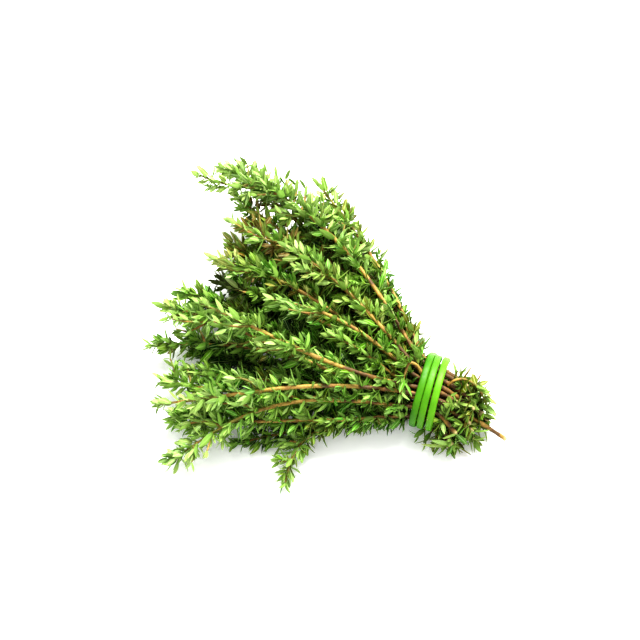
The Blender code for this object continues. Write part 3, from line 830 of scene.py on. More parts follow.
def bare_stems():
    """All the stems and the band as one mesh object that isn't in the scene."""
    points, faces, owners = [], [], []
    for number, sprig in enumerate(sprigs.values()):
        line = [WAIST + point * MM for point in sprig["line"][::EVERY_OTHER]]
        for index in range(len(line)):
            if index:
                last = len(points) - BARE_SIDES
                for side in range(BARE_SIDES):
                    after = (side + 1) % BARE_SIDES
                    corners = (side, after, BARE_SIDES + after, BARE_SIDES + side)
                    faces.append(tuple(last + corner for corner in corners))
            points += ring_round(line, index, STEM_RADIUS_CUT * MM)
            owners += [number] * BARE_SIDES
    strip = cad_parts["rubber_band"].data
    faces += [tuple(len(points) + corner for corner in face.vertices) for face in strip.polygons]
    owners += [BAND_OWNER] * len(strip.vertices)
    points += [vertex.co for vertex in strip.vertices]
    mesh = bpy.data.meshes.new("bare stems")
    mesh.from_pydata(points, [], faces)
    mesh.attributes.new("owner", "FLOAT", "POINT").data.foreach_set("value", owners)
    return bpy.data.objects.new("bare stems", mesh)


obstacles = bare_stems()
print("leaves miss", len(obstacles.data.polygons), "faces of wood and rubber")

# %% [markdown]
# ## Growth
# One Geometry Nodes tree turns the curves of a sprig into the finished sprig. It makes the stems
# with Curve to Mesh. For the leaves it walks along each curve, pairs close together at the tip and
# further apart towards the root, and instances two leaves and two tufts at each place, a quarter
# turn round from the last. A curve with no thickness carries leaves but makes no stem: it crowds
# more of them on the stem that it follows.

# %% A helper for Geometry Nodes
class Growth(Tree):
    """A Geometry Nodes tree with named inputs."""

    # An offset for each draw keeps the draws of one seed apart.
    DRAWS = {
        "turn": 1, "leaf lean": 11, "leaf size": 12, "which leaf": 20, "leaf width": 21,
        "leaf tone": 22, "tuft here": 31, "tuft lean": 32, "tuft size": 33, "which tuft": 40,
        "tuft width": 41, "tuft tone": 42, "browned": 61,
    }

    def __init__(self, name):
        self.group = bpy.data.node_groups.new(name, "GeometryNodeTree")
        super().__init__(self.group.nodes, self.group.links)
        self.start = self.nodes.new("NodeGroupInput")
        self.end = self.nodes.new("NodeGroupOutput")
        self.socket("Geometry", "OUTPUT", "Geometry")

    def socket(self, name, side, kind):
        new_socket = self.group.interface.new_socket
        new_socket(name, in_out=side, socket_type="NodeSocket" + kind)

    def input(self, name, kind):
        self.socket(name, "INPUT", kind)
        return self.given(name)

    def given(self, name):
        """What the tree's input of this name holds."""
        return self.start.outputs[name]

    def vector(self, operation, a, b=(0, 0, 0), scale=1.0):
        feeds = {"Vector": a, "Vector_001": b, "Scale": scale}
        return self.out("ShaderNodeVectorMath", feeds, "Vector", operation=operation)

    def scaled(self, vector, scale):
        return self.vector("SCALE", vector, scale=scale)

    def together(self, x, y, z):
        return self.out("ShaderNodeCombineXYZ", {"X": x, "Y": y, "Z": z})

    def random(self, low, high, draw):
        """A random number for each point."""
        seed = self.plus(self.given("Seed"), float(self.DRAWS[draw]))
        feeds = {"Min_001": low, "Max_001": high, "Seed": seed}
        return self.out("FunctionNodeRandomValue", feeds, "Value_001", data_type="FLOAT")

    def compare(self, a, sign, b):
        operation = {"<": "LESS_THAN", ">": "GREATER_THAN"}[sign]
        feeds = {"A": a, "B": b}
        return self.out("FunctionNodeCompare", feeds, operation=operation, data_type="FLOAT")

    def logic(self, operation, a, b):
        feeds = {"Boolean": a, "Boolean_001": b}
        return self.out("FunctionNodeBooleanMath", feeds, operation=operation)

    def read(self, name, data_type="FLOAT"):
        feeds = {"Name": name}
        return self.out("GeometryNodeInputNamedAttribute", feeds, "Attribute", data_type=data_type)

    def store(self, geometry, values, domain="POINT"):
        """The geometry with each of these values kept under its name."""
        for name, value in values.items():
            feeds = {"Geometry": geometry, "Name": name, "Value": value}
            kind = "FLOAT_VECTOR" if value.type == "VECTOR" else "FLOAT"
            geometry = self.out(
                "GeometryNodeStoreNamedAttribute", feeds, data_type=kind, domain=domain)
        return geometry

    def joined(self, *geometries):
        made = self.node("GeometryNodeJoinGeometry")
        for geometry in geometries:
            self.links.new(geometry, made.inputs[0])
        return made.outputs[0]

    def without(self, geometry, selection):
        feeds = {"Geometry": geometry, "Selection": selection}
        return self.out("GeometryNodeDeleteGeometry", feeds, domain="POINT")

    def moved(self, geometry, position):
        feeds = {"Geometry": geometry, "Position": position}
        return self.out("GeometryNodeSetPosition", feeds)

    def coated(self, geometry, material):
        feeds = {"Geometry": geometry, "Material": material}
        return self.out("GeometryNodeSetMaterial", feeds)


# %% [markdown]
# A leaf's place on its curve says all that it has to know: where it is, which way the stem runs
# there, how thick it is, and how far the tip is. No leaf grows where the band presses on the bunch,
# an oval stretch of the waist, nor at the very ends of the cut stems.

# %% Where the leaves sit
BARE_HALF_WIDTH, BARE_HALF_HEIGHT = 16.5, 14.0
BARE_MIDDLE, BARE_STRETCH = 0.7, 6.6
LAST_TAIL_LEAF = 26.5
TIP_CROWDING = 1.5
QUARTER_TURN = 0.5
NEXT_CURVE_TURN = 0.37
FIRST_TURN, TURN_CHANCE = math.radians(45), 0.8


def leaf_places(g, from_waist):
    """Points along every curve, two for each pair of leaves, with what a leaf needs to know."""
    curves = g.given("Curves")
    feeds = {"Curve": curves, "Length": g.given("Pair spacing")}
    even = g.out("GeometryNodeResampleCurve", feeds, mode="LENGTH")
    to_tip = g.minus(1.0, g.out("GeometryNodeSplineParameter", output="Factor"))
    share = g.math("POWER", to_tip, TIP_CROWDING)
    curve = g.out("GeometryNodeCurveOfPoint")
    sample = g.node("GeometryNodeSampleCurve", {
        "Curves": curves, "Value": g.out("GeometryNodeInputRadius"), "Curve Index": curve,
        "Factor": g.minus(1.0, share),
    }, mode="FACTOR").outputs
    pair = g.out("GeometryNodeSplineParameter", output="Index")
    even = g.store(even, {
        "place": sample["Position"], "heading": sample["Tangent"], "outward": sample["Normal"],
        "thickness": sample["Value"],
        "from_tip": g.times(share, g.out("GeometryNodeSplineLength")),
        "pair": g.plus(pair, g.times(curve, NEXT_CURVE_TURN)),
    })
    places = g.out("GeometryNodeCurveToPoints", {"Curve": even}, mode="EVALUATED")
    places = g.moved(places, g.read("place", "FLOAT_VECTOR"))
    along, aside, height = g.apart(from_waist)
    aside = g.over(aside, BARE_HALF_WIDTH * MM)
    upright = g.over(g.minus(height, WAIST_CENTRE_Z * MM), BARE_HALF_HEIGHT * MM)
    oval = g.plus(g.times(aside, aside), g.times(upright, upright))
    from_band = g.math("ABSOLUTE", g.minus(along, BARE_MIDDLE * MM))
    near_band = g.compare(from_band, "<", BARE_STRETCH * MM)
    under_band = g.logic("AND", near_band, g.compare(oval, "<", 1.0))
    cut_ends = g.compare(along, ">", LAST_TAIL_LEAF * MM)
    places = g.without(places, g.logic("OR", under_band, cut_ends))
    feeds = {"Geometry": places, "Amount": 2}
    doubled = g.node("GeometryNodeDuplicateElements", feeds, domain="POINT").outputs
    turn = g.plus(g.times(g.read("pair"), QUARTER_TURN), doubled["Duplicate Index"])
    chance = g.random(FIRST_TURN - TURN_CHANCE, FIRST_TURN + TURN_CHANCE, "turn")
    outward = g.out("ShaderNodeVectorRotate", {
        "Vector": g.read("outward", "FLOAT_VECTOR"), "Axis": g.read("heading", "FLOAT_VECTOR"),
        "Angle": g.plus(g.times(turn, math.pi), chance),
    }, rotation_type="AXIS_ANGLE")
    return g.store(doubled["Geometry"], {"outward": outward})


# %% [markdown]
# A leaf leans out from its stem. Near the table it is tipped up so that it misses it, and where it
# would meet another sprig's stem or the band it is made shorter, or left out if too little remains.
# What still dips too low is pressed together just above the table, as the bunch's own weight does.

# %% How a leaf stands
LEAF_ABOVE_TABLE = 0.3
LEAF_SAG_SHARE = 0.15
BARK_CLEARANCE = 1.5
SHORTEST_SHARE = 0.35
SHORTENED_POWER = 0.6
LEAF_WIDTHS = (0.80, 1.10)
MANY = 1000.0
PRESSED_BELOW = 1.6


def instance_growth(g, kind, places, length, lean):
    """Leaves or tufts on the places, leaning outwards, clear of the table and of other stems."""
    heading, outward = g.read("heading", "FLOAT_VECTOR"), g.read("outward", "FLOAT_VECTOR")
    cosine, sine = g.math("COSINE", lean), g.math("SINE", lean)
    place = g.out("GeometryNodeInputPosition")
    lowest = g.over(g.minus(LEAF_ABOVE_TABLE * MM, g.apart(place)[2]), length)
    lowest = g.plus(lowest, LEAF_SAG_SHARE)
    x, y, z = g.apart(g.vector("ADD", g.scaled(heading, cosine), g.scaled(outward, sine)))
    direction = g.vector("NORMALIZE", g.together(x, y, g.math("MAXIMUM", z, lowest)))
    face_up = g.vector("SUBTRACT", g.scaled(heading, sine), g.scaled(outward, cosine))
    clear = g.scaled(direction, g.times(g.read("thickness"), BARK_CLEARANCE))
    blocking = g.out("GeometryNodeObjectInfo", {"Object": g.given("Bare stems")}, "Geometry")
    ray = g.node("GeometryNodeRaycast", {
        "Target Geometry": blocking, "Attribute": g.read("owner"), "Ray Direction": direction,
        "Source Position": g.vector("ADD", place, clear), "Ray Length": length,
    }, data_type="FLOAT").outputs
    numbers_apart = g.math("ABSOLUTE", g.minus(ray["Attribute"], g.given("Sprig number")))
    blocked = g.logic("AND", ray["Is Hit"], g.compare(numbers_apart, ">", 0.5))
    free = {"Switch": blocked, "False": 1.0, "True": g.over(ray["Hit Distance"], length)}
    share = g.out("GeometryNodeSwitch", free, input_type="FLOAT")
    size = g.times(length, g.math("POWER", share, SHORTENED_POWER))
    width = g.times(size, g.random(*LEAF_WIDTHS, f"{kind} width"))
    instances = g.out("GeometryNodeInstanceOnPoints", {
        "Points": places,
        "Selection": g.compare(share, ">", SHORTEST_SHARE),
        "Instance": g.out("GeometryNodeCollectionInfo", {
            "Collection": g.given(f"{kind.title()} patterns"),
            "Separate Children": True, "Reset Children": True,
        }),
        "Pick Instance": True,
        "Instance Index": g.random(0.0, MANY, f"which {kind}"),
        "Rotation": g.out("FunctionNodeAxesToRotation", {
            "Primary Axis": direction, "Secondary Axis": face_up,
        }, primary_axis="Y", secondary_axis="Z"),
        "Scale": g.together(width, size, size),
    })
    return g.store(instances, {"tone": g.random(0.0, 1.0, f"{kind} tone")}, domain="INSTANCE")


def pressed_on_table(g, geometry):
    """Everything lower than a small height is pressed together just above the table."""
    x, y, z = g.apart(g.out("GeometryNodeInputPosition"))
    low = PRESSED_BELOW * MM
    under = g.over(g.minus(g.math("MINIMUM", z, low), low), low)
    pressed = g.times(g.math("EXPONENT", under), low)
    height = g.plus(pressed, g.math("MAXIMUM", g.minus(z, low), 0.0))
    return g.moved(geometry, g.together(x, y, height))


# %% [markdown]
# The tree has three steps. The bark is a tube with lumps, woody where it is thick and near the
# band. The foliage is leaves in pairs and tufts in their axils, smaller and steeper at the tips.
# Past the band the leaves are larger and the tufts few. Last come the numbers that colour a leaf.

# %% The bark's step
STEM_SIDES = 7
THINNEST_STEM = 0.05
WOODY_FROM, WOODY_TO = -100, -4
WOODY_THIN, WOODY_THICK = 0.5, 0.9
LEAST_WOODY = 0.1
CUT_DEPTH = 0.8
LUMP_SCALE, LUMP_SIZES = 260.0, (0.82, 1.2)


def grow_bark(g, from_waist):
    """The stems as tubes, with the numbers that their finish reads."""
    radius = g.out("GeometryNodeInputRadius")
    solid = g.without(g.given("Curves"), g.compare(radius, "<", THINNEST_STEM * MM))
    along = g.apart(from_waist)[0]
    by_place = g.spread(along, WOODY_FROM * MM, WOODY_TO * MM, LEAST_WOODY, 1.0)
    by_radius = g.spread(radius, WOODY_THIN * MM, WOODY_THICK * MM, LEAST_WOODY, 1.0)
    from_root = g.out("GeometryNodeSplineParameter", output="Length")
    thick = g.compare(radius, ">", WOODY_THICK * MM)
    at_cut = g.logic("AND", thick, g.compare(from_root, "<", CUT_DEPTH * MM))
    solid = g.store(solid, {
        "woody": g.times(by_place, by_radius), "fresh": g.given("Freshness and light"), "cut": at_cut})
    feeds = {"Vector": from_waist, "Scale": LUMP_SCALE, "Detail": 2.0}
    lumps = g.out("ShaderNodeTexNoise", feeds)
    tube = g.out("GeometryNodeCurveToMesh", {
        "Curve": solid, "Fill Caps": True,
        "Profile Curve": g.out("GeometryNodeCurvePrimitiveCircle", {
            "Resolution": STEM_SIDES, "Radius": 1.0}, mode="RADIUS"),
        "Scale": g.times(radius, g.spread(lumps, CLOUD_LOW, CLOUD_HIGH, *LUMP_SIZES)),
    })
    tube = g.coated(tube, g.given("Bark finish"))
    return g.out("GeometryNodeSetShadeSmooth", {"Geometry": tube})


# %% The foliage's step
YOUNG_STRETCH = 25.0
LEAN_AT_TIP, LEAN_BELOW, LEAN_CHANCE = 0.55, 1.05, 0.18
SIZE_AT_TIP = 0.66
LEAF_SIZES = (0.80, 1.10)
SHOOT_THIN, SHOOT_FULL, SIZE_ON_A_THIN_SHOOT = 0.30, 0.45, 0.88
TAIL_FROM, TAIL_TO = 7, 12
TAIL_LEAF_GAIN = 0.27
TAIL_TUFT_LOSS = 0.6
TUFTED_SHARE, FIRST_TUFT_AGE = 0.9, 0.10
TUFT_LEANS = (0.60, 0.90)
TUFT_SIZES = (0.62, 1.12)


def grow_foliage(g, places, along):
    """The leaves and the tufts on the places, as instances."""
    age = g.spread(g.read("from_tip"), 0.0, YOUNG_STRETCH * MM, smooth=True)
    places = g.store(places, {"youth": g.minus(1.0, age)})
    lean = g.spread(age, 0.0, 1.0, LEAN_AT_TIP, LEAN_BELOW)
    lean = g.plus(lean, g.random(-LEAN_CHANCE, LEAN_CHANCE, "leaf lean"))
    grown = g.times(g.spread(age, 0.0, 1.0, SIZE_AT_TIP, 1.0), g.random(*LEAF_SIZES, "leaf size"))
    sturdy = g.spread(
        g.read("thickness"), SHOOT_THIN * MM, SHOOT_FULL * MM, SIZE_ON_A_THIN_SHOOT, 1.0)
    in_tail = g.spread(along, TAIL_FROM * MM, TAIL_TO * MM)
    length = g.times(g.given("Leaf length"), g.times(grown, sturdy))
    length = g.times(length, g.plus(1.0, g.times(in_tail, TAIL_LEAF_GAIN)))
    leaves = instance_growth(g, "leaf", places, length, lean)
    kept = g.minus(1.0, g.times(in_tail, TAIL_TUFT_LOSS))
    chosen = g.compare(g.random(0.0, 1.0, "tuft here"), "<", g.times(kept, TUFTED_SHARE))
    bare_axil = g.logic("NAND", chosen, g.compare(age, ">", FIRST_TUFT_AGE))
    lean = g.times(lean, g.random(*TUFT_LEANS, "tuft lean"))
    length = g.times(g.given("Tuft length"), sturdy, g.random(*TUFT_SIZES, "tuft size"))
    tufts = instance_growth(g, "tuft", g.without(places, bare_axil), length, lean)
    return g.joined(leaves, tufts)


# %% The colouring step
# How pale the foliage is along the bunch, paler at the tips and darker towards the band and past
# it:
# (from, to, there, here), in millimetres from the waist.
PALER_ALONG = ((-100, -25, 1.35, 0.82), (-30, 8, 1.0, 0.70))
DRY_FROM, DRY_TO = 2, 12
BROWNED_SHARE, BROWNED_DEPTH = 0.50, 2.0
WILTED_ALL, WILTED_LAST = 8, 13


def colour_numbers(g, foliage, along):
    """The numbers that the leaf's finish reads, one of each for every instance."""
    by_place = g.times(*(
        g.spread(along, start * MM, end * MM, there, here)
        for start, end, there, here in PALER_ALONG
    ))
    browned = g.compare(g.random(0.0, 1.0, "browned"), "<", BROWNED_SHARE)
    browned = g.times(browned, g.times(g.given("Dryness"), BROWNED_DEPTH))
    past_band = g.spread(along, DRY_FROM * MM, DRY_TO * MM)
    wilting = g.spread(g.read("from_tip"), WILTED_ALL * MM, WILTED_LAST * MM, 1.0, 0.0)
    # The freshness number is partly painted light: it is low on the sprigs low in the bunch, which
    # paints their leaves a darker green for the shade they lie in.
    return g.store(foliage, {
        "fresh": g.times(g.given("Freshness and light"), by_place),
        "dry": g.math("MAXIMUM", past_band, browned),
        "wilted": g.times(g.given("Wilted tip"), wilting),
    }, domain="INSTANCE")


# %% The growth tree
# What each sprig gives the tree. The lengths are in metres.
INPUTS = {
    "Geometry": ["Curves"], "Int": ["Seed"], "Vector": ["Waist"],
    "Collection": ["Leaf patterns", "Tuft patterns"], "Object": ["Bare stems"],
    "Material": ["Leaf finish", "Bark finish"],
    "Float": [
        "Pair spacing", "Leaf length", "Tuft length", "Freshness and light", "Dryness", "Wilted tip",
        "Sprig number",
    ],
}


def growth_tree():
    g = Growth("thyme growth")
    for kind, names in INPUTS.items():
        for name in names:
            g.input(name, kind)
    from_waist = g.out("GeometryNodeInputPosition")
    from_waist = g.vector("SUBTRACT", from_waist, g.given("Waist"))
    along = g.apart(from_waist)[0]
    foliage = grow_foliage(g, leaf_places(g, from_waist), along)
    foliage = colour_numbers(g, foliage, along)
    foliage = g.out("GeometryNodeRealizeInstances", {"Geometry": foliage})
    foliage = g.coated(pressed_on_table(g, foliage), g.given("Leaf finish"))
    g.links.new(g.joined(foliage, grow_bark(g, from_waist)), g.end.inputs[0])
    return g.group


tree = growth_tree()
inputs = sum(len(names) for names in INPUTS.values())
print("the growth tree has", len(tree.nodes), "nodes and", inputs, "inputs")

# %% [markdown]
# ## The sprigs
# No two sprigs look alike. The ones on top are young, pale and open, the ones below are bushier and
# darker, partly with age and partly with painted shade, for the sprigs above shade them. Some have
# dried a little, one has a blackened tip. These tables give each layer its measures in millimetres,
# and single sprigs their own.

# %% How the sprigs differ
# Radii from root to tip, evenly spread along the stem.
STEM_RADII = {
    "top": (1.0, 0.90, 0.90, 0.86, 0.74, 0.45), "upper": (1.0, 0.88, 0.86, 0.78, 0.66, 0.42),
    "middle": (1.0, 0.88, 0.78, 0.66, 0.42), "lower": (1.0, 0.85, 0.7, 0.42),
    "bottom": (1.0, 0.85, 0.7, 0.42), "lower_5": (1.0, 0.95, 0.9, 0.8, 0.6, 0.45),
}
PAIR_SPACING = {
    "top": 5.3, "upper": 4.9, "middle": 4.3, "lower": 3.5, "bottom": 3.1,
    "top_1": 3.7, "upper_1": 5.6, "lower_5": 4.2,
}
LEAF_LENGTH, LONGER_LEAVES = 9.0, {"lower_5": 9.2}
TUFT_LENGTH = {
    "top": 10.0, "upper": 10.0, "middle": 10.5, "lower": 11.5, "bottom": 12.0,
    "lower_5": 8.5, "bottom_4": 9.0,
}
# How much paler than its layer a sprig is, how many of its leaves are browned, a blackened tip.
PALER = {
    "top_1": 0.32, "top_2": 0.30, "top_4": 0.25, "top_5": 0.38, "upper_1": 0.22, "upper_2": 0.12,
    "upper_3": 0.15, "upper_5": 0.22, "upper_6": 0.35, "middle_4": -0.10, "middle_5": 0.16,
    "middle_6": 0.30, "lower_4": 0.20, "lower_5": 0.42,
}
DRYNESS = {
    "top_2": 0.6, "upper_1": 0.65, "upper_2": 1.0, "upper_3": 0.7, "middle_1": 0.7,
    "middle_2": 1.0, "lower_2": 0.8, "bottom_1": 0.7,
}
WILTED_TIP = {"middle_3": 1.0}
# Where a second line of leaves thickens the growth: near the band, and all along the low sprigs.
OPEN_AT_THE_BAND = ("top_1", "top_3", "top_4", "top_5", "upper_1", "middle_1", "lower_5")
THICK_LAYERS = ("lower", "bottom")
OPEN_IN_A_THICK_LAYER = ("lower_5", "bottom_4")
BARE_TAILS = ("top_1", "top_3", "top_5", "upper_2", "upper_5", "middle_4")


def layer_of(name):
    return name.split("_")[0]


def measure(table, name):
    """The sprig's own entry in the table, or else its layer's."""
    return table.get(name, table.get(layer_of(name)))


print(len(DRYNESS), "sprigs are a little dry, the sprig with a blackened tip is", *WILTED_TIP)

# %% [markdown]
# Small shoots fill the bunch where the solids have only leaves. The outer ones stand up along a
# sprig's edge and make it feathery. The beside ones run along low stems and fan them out. The short
# ones sit by the band: their places are drawn as points seen from the waist.

# %% More shoots
# How far from its tip, which way round the stem in degrees, and how long.
OUTER_SHOOTS = {
    "top_1": [
        (8, 85, 6), (13, 70, 7), (18, 90, 8), (23, 75, 8), (28, 90, 9), (33, 70, 9),
        (38, 90, 10), (43, 75, 10), (48, 90, 10), (53, 75, 10), (59, 90, 9), (66, 80, 9),
        (74, 90, 8), (16, -80, 8), (27, -70, 8),
    ],
    "upper_2": [(14, 70, 9), (28, 80, 9)], "upper_5": [(10, -70, 8), (22, -90, 9)],
    "upper_6": [(12, -80, 7), (21, -70, 8)], "middle_4": [(24, 80, 9)],
    "middle_5": [(6, 85, 12), (13, 75, 11), (22, 90, 11)], "lower_5": [(10, 90, 5), (18, 90, 6)],
}
OUTER_LEANS_DEG = (68, 62, 56, 50)
SHORT_SHOOTS = {
    "upper_3": [
        [(7, 1, 22), (9, 3, 25), (13, 5, 24), (17, 5, 22), (20, 4.5, 19), (23, 2, 15), (25, 0, 12)],
    ],
    "middle_6": [[(10, -9, 12), (11.5, -12, 12), (13, -16, 9)]],
    "lower_4": [
        [(9, -9, 7), (9.5, -14, 6.5), (10, -17.5, 3)], [(12, -8, 9), (13.5, -12, 8), (15, -16, 4)],
    ],
    "lower_5": [
        [(7, -8, 4), (5, -12, 4), (3.5, -17, 3)], [(6, -8, 4), (2.5, -11.5, 4), (0, -15.5, 3)],
        [(8, -9, 5), (7.5, -13, 5), (7, -17, 3)],
    ],
    "bottom_3": [[(16, -4, 5), (20, -4, 5.5), (25, -5, 3)]],
    "bottom_4": [
        [(12, -8, 5), (15, -13, 5.5), (17, -16, 3)], [(15, -7, 6), (19, -9, 6), (22, -11, 3)],
    ],
}
# How far beside the stem they run, + towards +Y.
BESIDE = {
    "middle_1": (-7,), "middle_2": (8,), "middle_5": (7,), "lower_1": (-7,), "lower_2": (7,),
    "lower_3": (-6,), "bottom_1": (-7,), "bottom_2": (-7, 7), "bottom_3": (-8,),
}
BESIDE_FROM, BESIDE_BEND, BESIDE_STOPS_SHORT = 16.0, 14.0, 3
# One pale shoot has been caught by the band: it folds over and hangs down the front of the bunch.
HANGING_SHOOT = {
    "top_5": [
        (-4.2, 1.0, 25), (-7, 3, 29.5), (-10.8, 3, 30.5), (-11, -4, 30), (-10.6, -10, 26),
        (-10.2, -14.5, 20.5),
    ],
}
SHOOT_RADII = (0.6, 0.5, 0.32)
BESIDE_RADII = (0.45, 0.40, 0.28)
HANGING_RADII = (0.7, 0.6, 0.45, 0.3)


def beside(line, aside):
    """A thin shoot that leaves the stem past the band and runs beside it, almost to the tip."""
    moved = []
    for before, point, after in zip(line, line[1:], line[2:]):
        share = min((-point.x - BESIDE_FROM) / BESIDE_BEND, 1.0)
        if share > 0:
            outward = (after - before).cross(Vector((0, 0, 1))).normalized()
            moved.append(point + outward * aside * share * share * (3 - 2 * share))
    return moved[:-BESIDE_STOPS_SHORT]


print("more shoots:", sum(map(len, OUTER_SHOOTS.values())), "outer,",
      sum(map(len, SHORT_SHOOTS.values())), "short and", sum(map(len, BESIDE.values())), "beside")

# %% [markdown]
# Each sprig starts as a curve object with all these lines. A line without thickness adds leaves to
# the stem that it follows: near the band, along the low sprigs, and on the tail of cut ends.

# %% A sprig's curves
NO_STEM = (0.0, 0.0)
CUT_FACE_DEPTH = 0.7
TAIL_LEAVES_FROM = 6.5
BUSHY_REACH = 42.0
SHOOT_STEP = 1.0
SHOOT_EASING, SHORT_EASING, HANGING_EASING = 2, 4, 3


def spline(curve, line, radii):
    """One spline through the line, in millimetres from the waist, from its root to its tip."""
    made = curve.splines.new("POLY")
    made.points.add(len(line) - 1)
    for index, (point, place) in enumerate(zip(made.points, line)):
        where = index / (len(line) - 1) * (len(radii) - 1)
        before = min(int(where), len(radii) - 2)
        point.co = (*(WAIST + place * MM), 1.0)
        point.radius = (radii[before] + (radii[before + 1] - radii[before]) * (where - before)) * MM


def shoot_spline(curve, points, rounds, radii):
    """One spline for a side shoot that is given by a few points."""
    line = evenly_spaced([Vector(point) for point in points], SHOOT_STEP)
    spline(curve, relaxed(line, rounds), radii)


def sprig_curves(name, sprig):
    """The curve object that a sprig grows from."""
    curve = bpy.data.curves.new(name + "_lines", "CURVE")
    curve.dimensions, curve.twist_mode = "3D", "Z_UP"
    line, stem = sprig["line"], sprig["stem"]
    rim = line[0].lerp(line[1], CUT_FACE_DEPTH / (line[1] - line[0]).length)
    spline(curve, [line[0], rim, *line[1:]], measure(STEM_RADII, name))
    for shoot in sprig["shoot_lines"]:
        shoot_spline(curve, shoot, SHOOT_EASING, SHOOT_RADII)
    for from_tip, azimuth, length in OUTER_SHOOTS.get(name, ()):
        turn = math.radians(azimuth) - stem.turned
        shoot = shoot_line(stem, from_tip * MM, turn, length, OUTER_LEANS_DEG)
        shoot_spline(curve, shoot, SHOOT_EASING, SHOOT_RADII)
    for shoot in SHORT_SHOOTS.get(name, ()):
        shoot_spline(curve, shoot, SHORT_EASING, SHOOT_RADII)
    for aside in BESIDE.get(name, ()):
        spline(curve, beside(line, aside), BESIDE_RADII)
    if name in HANGING_SHOOT:
        shoot_spline(curve, HANGING_SHOOT[name], HANGING_EASING, HANGING_RADII)
    sprig_side = [point for point in line if point.x < -TAIL_LEAVES_FROM]
    if name not in OPEN_AT_THE_BAND:
        spline(curve, [point for point in sprig_side if point.x > -BUSHY_REACH], NO_STEM)
    if layer_of(name) in THICK_LAYERS and name not in OPEN_IN_A_THICK_LAYER:
        spline(curve, sprig_side, NO_STEM)
    tail = [point for point in line if point.x > TAIL_LEAVES_FROM]
    if len(tail) > 1 and name not in BARE_TAILS:
        spline(curve, tail[::-1], NO_STEM)
    return new_object(name + "_lines", curve)


# %% [markdown]
# The growth tree does the rest. The result is made a plain mesh with its place in its points, and
# that mesh is the piece that stands for the sprig's solid.

# %% Grow every sprig
SEED_STEP = 50


def set_inputs(modifier, values):
    """Sets a Geometry Nodes modifier's inputs by their names in the tree."""
    for item in modifier.node_group.interface.items_tree:
        if item.name in values:
            modifier[item.identifier] = values[item.name]


def as_piece(name, grown):
    """The evaluated object as a plain mesh object, in place of the first."""
    graph = bpy.context.evaluated_depsgraph_get()
    mesh = bpy.data.meshes.new_from_object(grown.evaluated_get(graph), depsgraph=graph)
    source = grown.data
    bpy.data.objects.remove(grown)
    bpy.data.curves.remove(source)
    mesh.name = name
    return new_object(name, mesh)


def grow_sprig(number, short_name, sprig):
    grown = sprig_curves(short_name, sprig)
    modifier = grown.modifiers.new("growth", "NODES")
    modifier.node_group = tree
    set_inputs(modifier, {
        "Pair spacing": measure(PAIR_SPACING, short_name) * MM,
        "Leaf length": LONGER_LEAVES.get(short_name, LEAF_LENGTH) * MM,
        "Tuft length": measure(TUFT_LENGTH, short_name) * MM,
        "Freshness and light": sprig["freshness_and_light"] + PALER.get(short_name, 0.0),
        "Dryness": DRYNESS.get(short_name, 0.0),
        "Wilted tip": WILTED_TIP.get(short_name, 0.0),
        "Sprig number": float(number), "Seed": SEED_STEP * (number + 1),
        "Waist": tuple(WAIST), "Leaf patterns": leaf_patterns, "Tuft patterns": tuft_patterns,
        "Bare stems": obstacles, "Leaf finish": leaf_material, "Bark finish": bark_material,
    })
    name = "sprig_" + short_name
    piece = as_piece("thyme_" + name, grown)
    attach(piece, "root")
    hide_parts(name)
    return piece


def triangle_count(mesh):
    mesh.calc_loop_triangles()
    return len(mesh.loop_triangles)


pieces = [grow_sprig(number, *named) for number, named in enumerate(sprigs.items())]
counts = [triangle_count(piece.data) for piece in pieces]
print("the sprigs have", sum(counts), "triangles, the largest", max(counts))

# %% [markdown]
# ## The rubber band
# One loop of soft rubber goes round the stems three times. Its turns lie side by side, and at the
# back its last turn steps over the other two to join the first. The section is a flat strip with
# round edges, swept along the route by Geometry Nodes. The route is drawn round the Z axis and laid
# over afterwards, because a curve keeps its section level only round Z.

# %% The band's finish
RUBBER_LIME = (0.130, 0.350, 0.014)
# The deeper green is the painted shade of the strands on the leafy side.
RUBBER_IN_PAINTED_SHADE = (0.038, 0.160, 0.004)
RUBBER_CLOUD = 0.2


def rubber_finish():
    rubber = Finish(
        "green rubber", Specular_IOR_Level=0.2, Subsurface_Weight=0.1, Subsurface_Scale=0.0012)
    along = rubber.apart(rubber.out("ShaderNodeTexCoord", output="Object"))[0]
    cloud = rubber.cloud(160.0, -RUBBER_CLOUD, RUBBER_CLOUD, detail=3.0)
    # Painted shade: the strands darken towards -X, the leafy side, where the leaves shade the band,
    # with a cloud of mottling over it.
    shade = rubber.plus(rubber.spread(along, band_low.x, band_high.x), cloud)
    colour = rubber.mix(shade, RUBBER_IN_PAINTED_SHADE, RUBBER_LIME)
    rubber.give(Base_Color=colour, Roughness=rubber.cloud(900.0, 0.36, 0.52))
    rubber.bump(rubber.noise(1400.0, 3.0), 0.00008, 0.4)
    return rubber.material


rubber_material = rubber_finish()
print("the rubber's finish has", len(rubber_material.node_tree.nodes), "nodes")

# %% The band's route
BAND_TURNS = 3
BAND_WIDTH = 3.0
BAND_PLACES = (-3.25, -0.2, 3.3)
BAND_SPLAY = 0.08
BAND_CROSSING_DEG = -28.0
BAND_CROSSING_SPAN_DEG = 80.0
BAND_CROSSING_LIFT = 2.1
BAND_LIFT_POWER = 6
BAND_STEPS_A_TURN = 60
BAND_EDGE_RADIUS = 0.72
BAND_EDGE_STEPS = 4


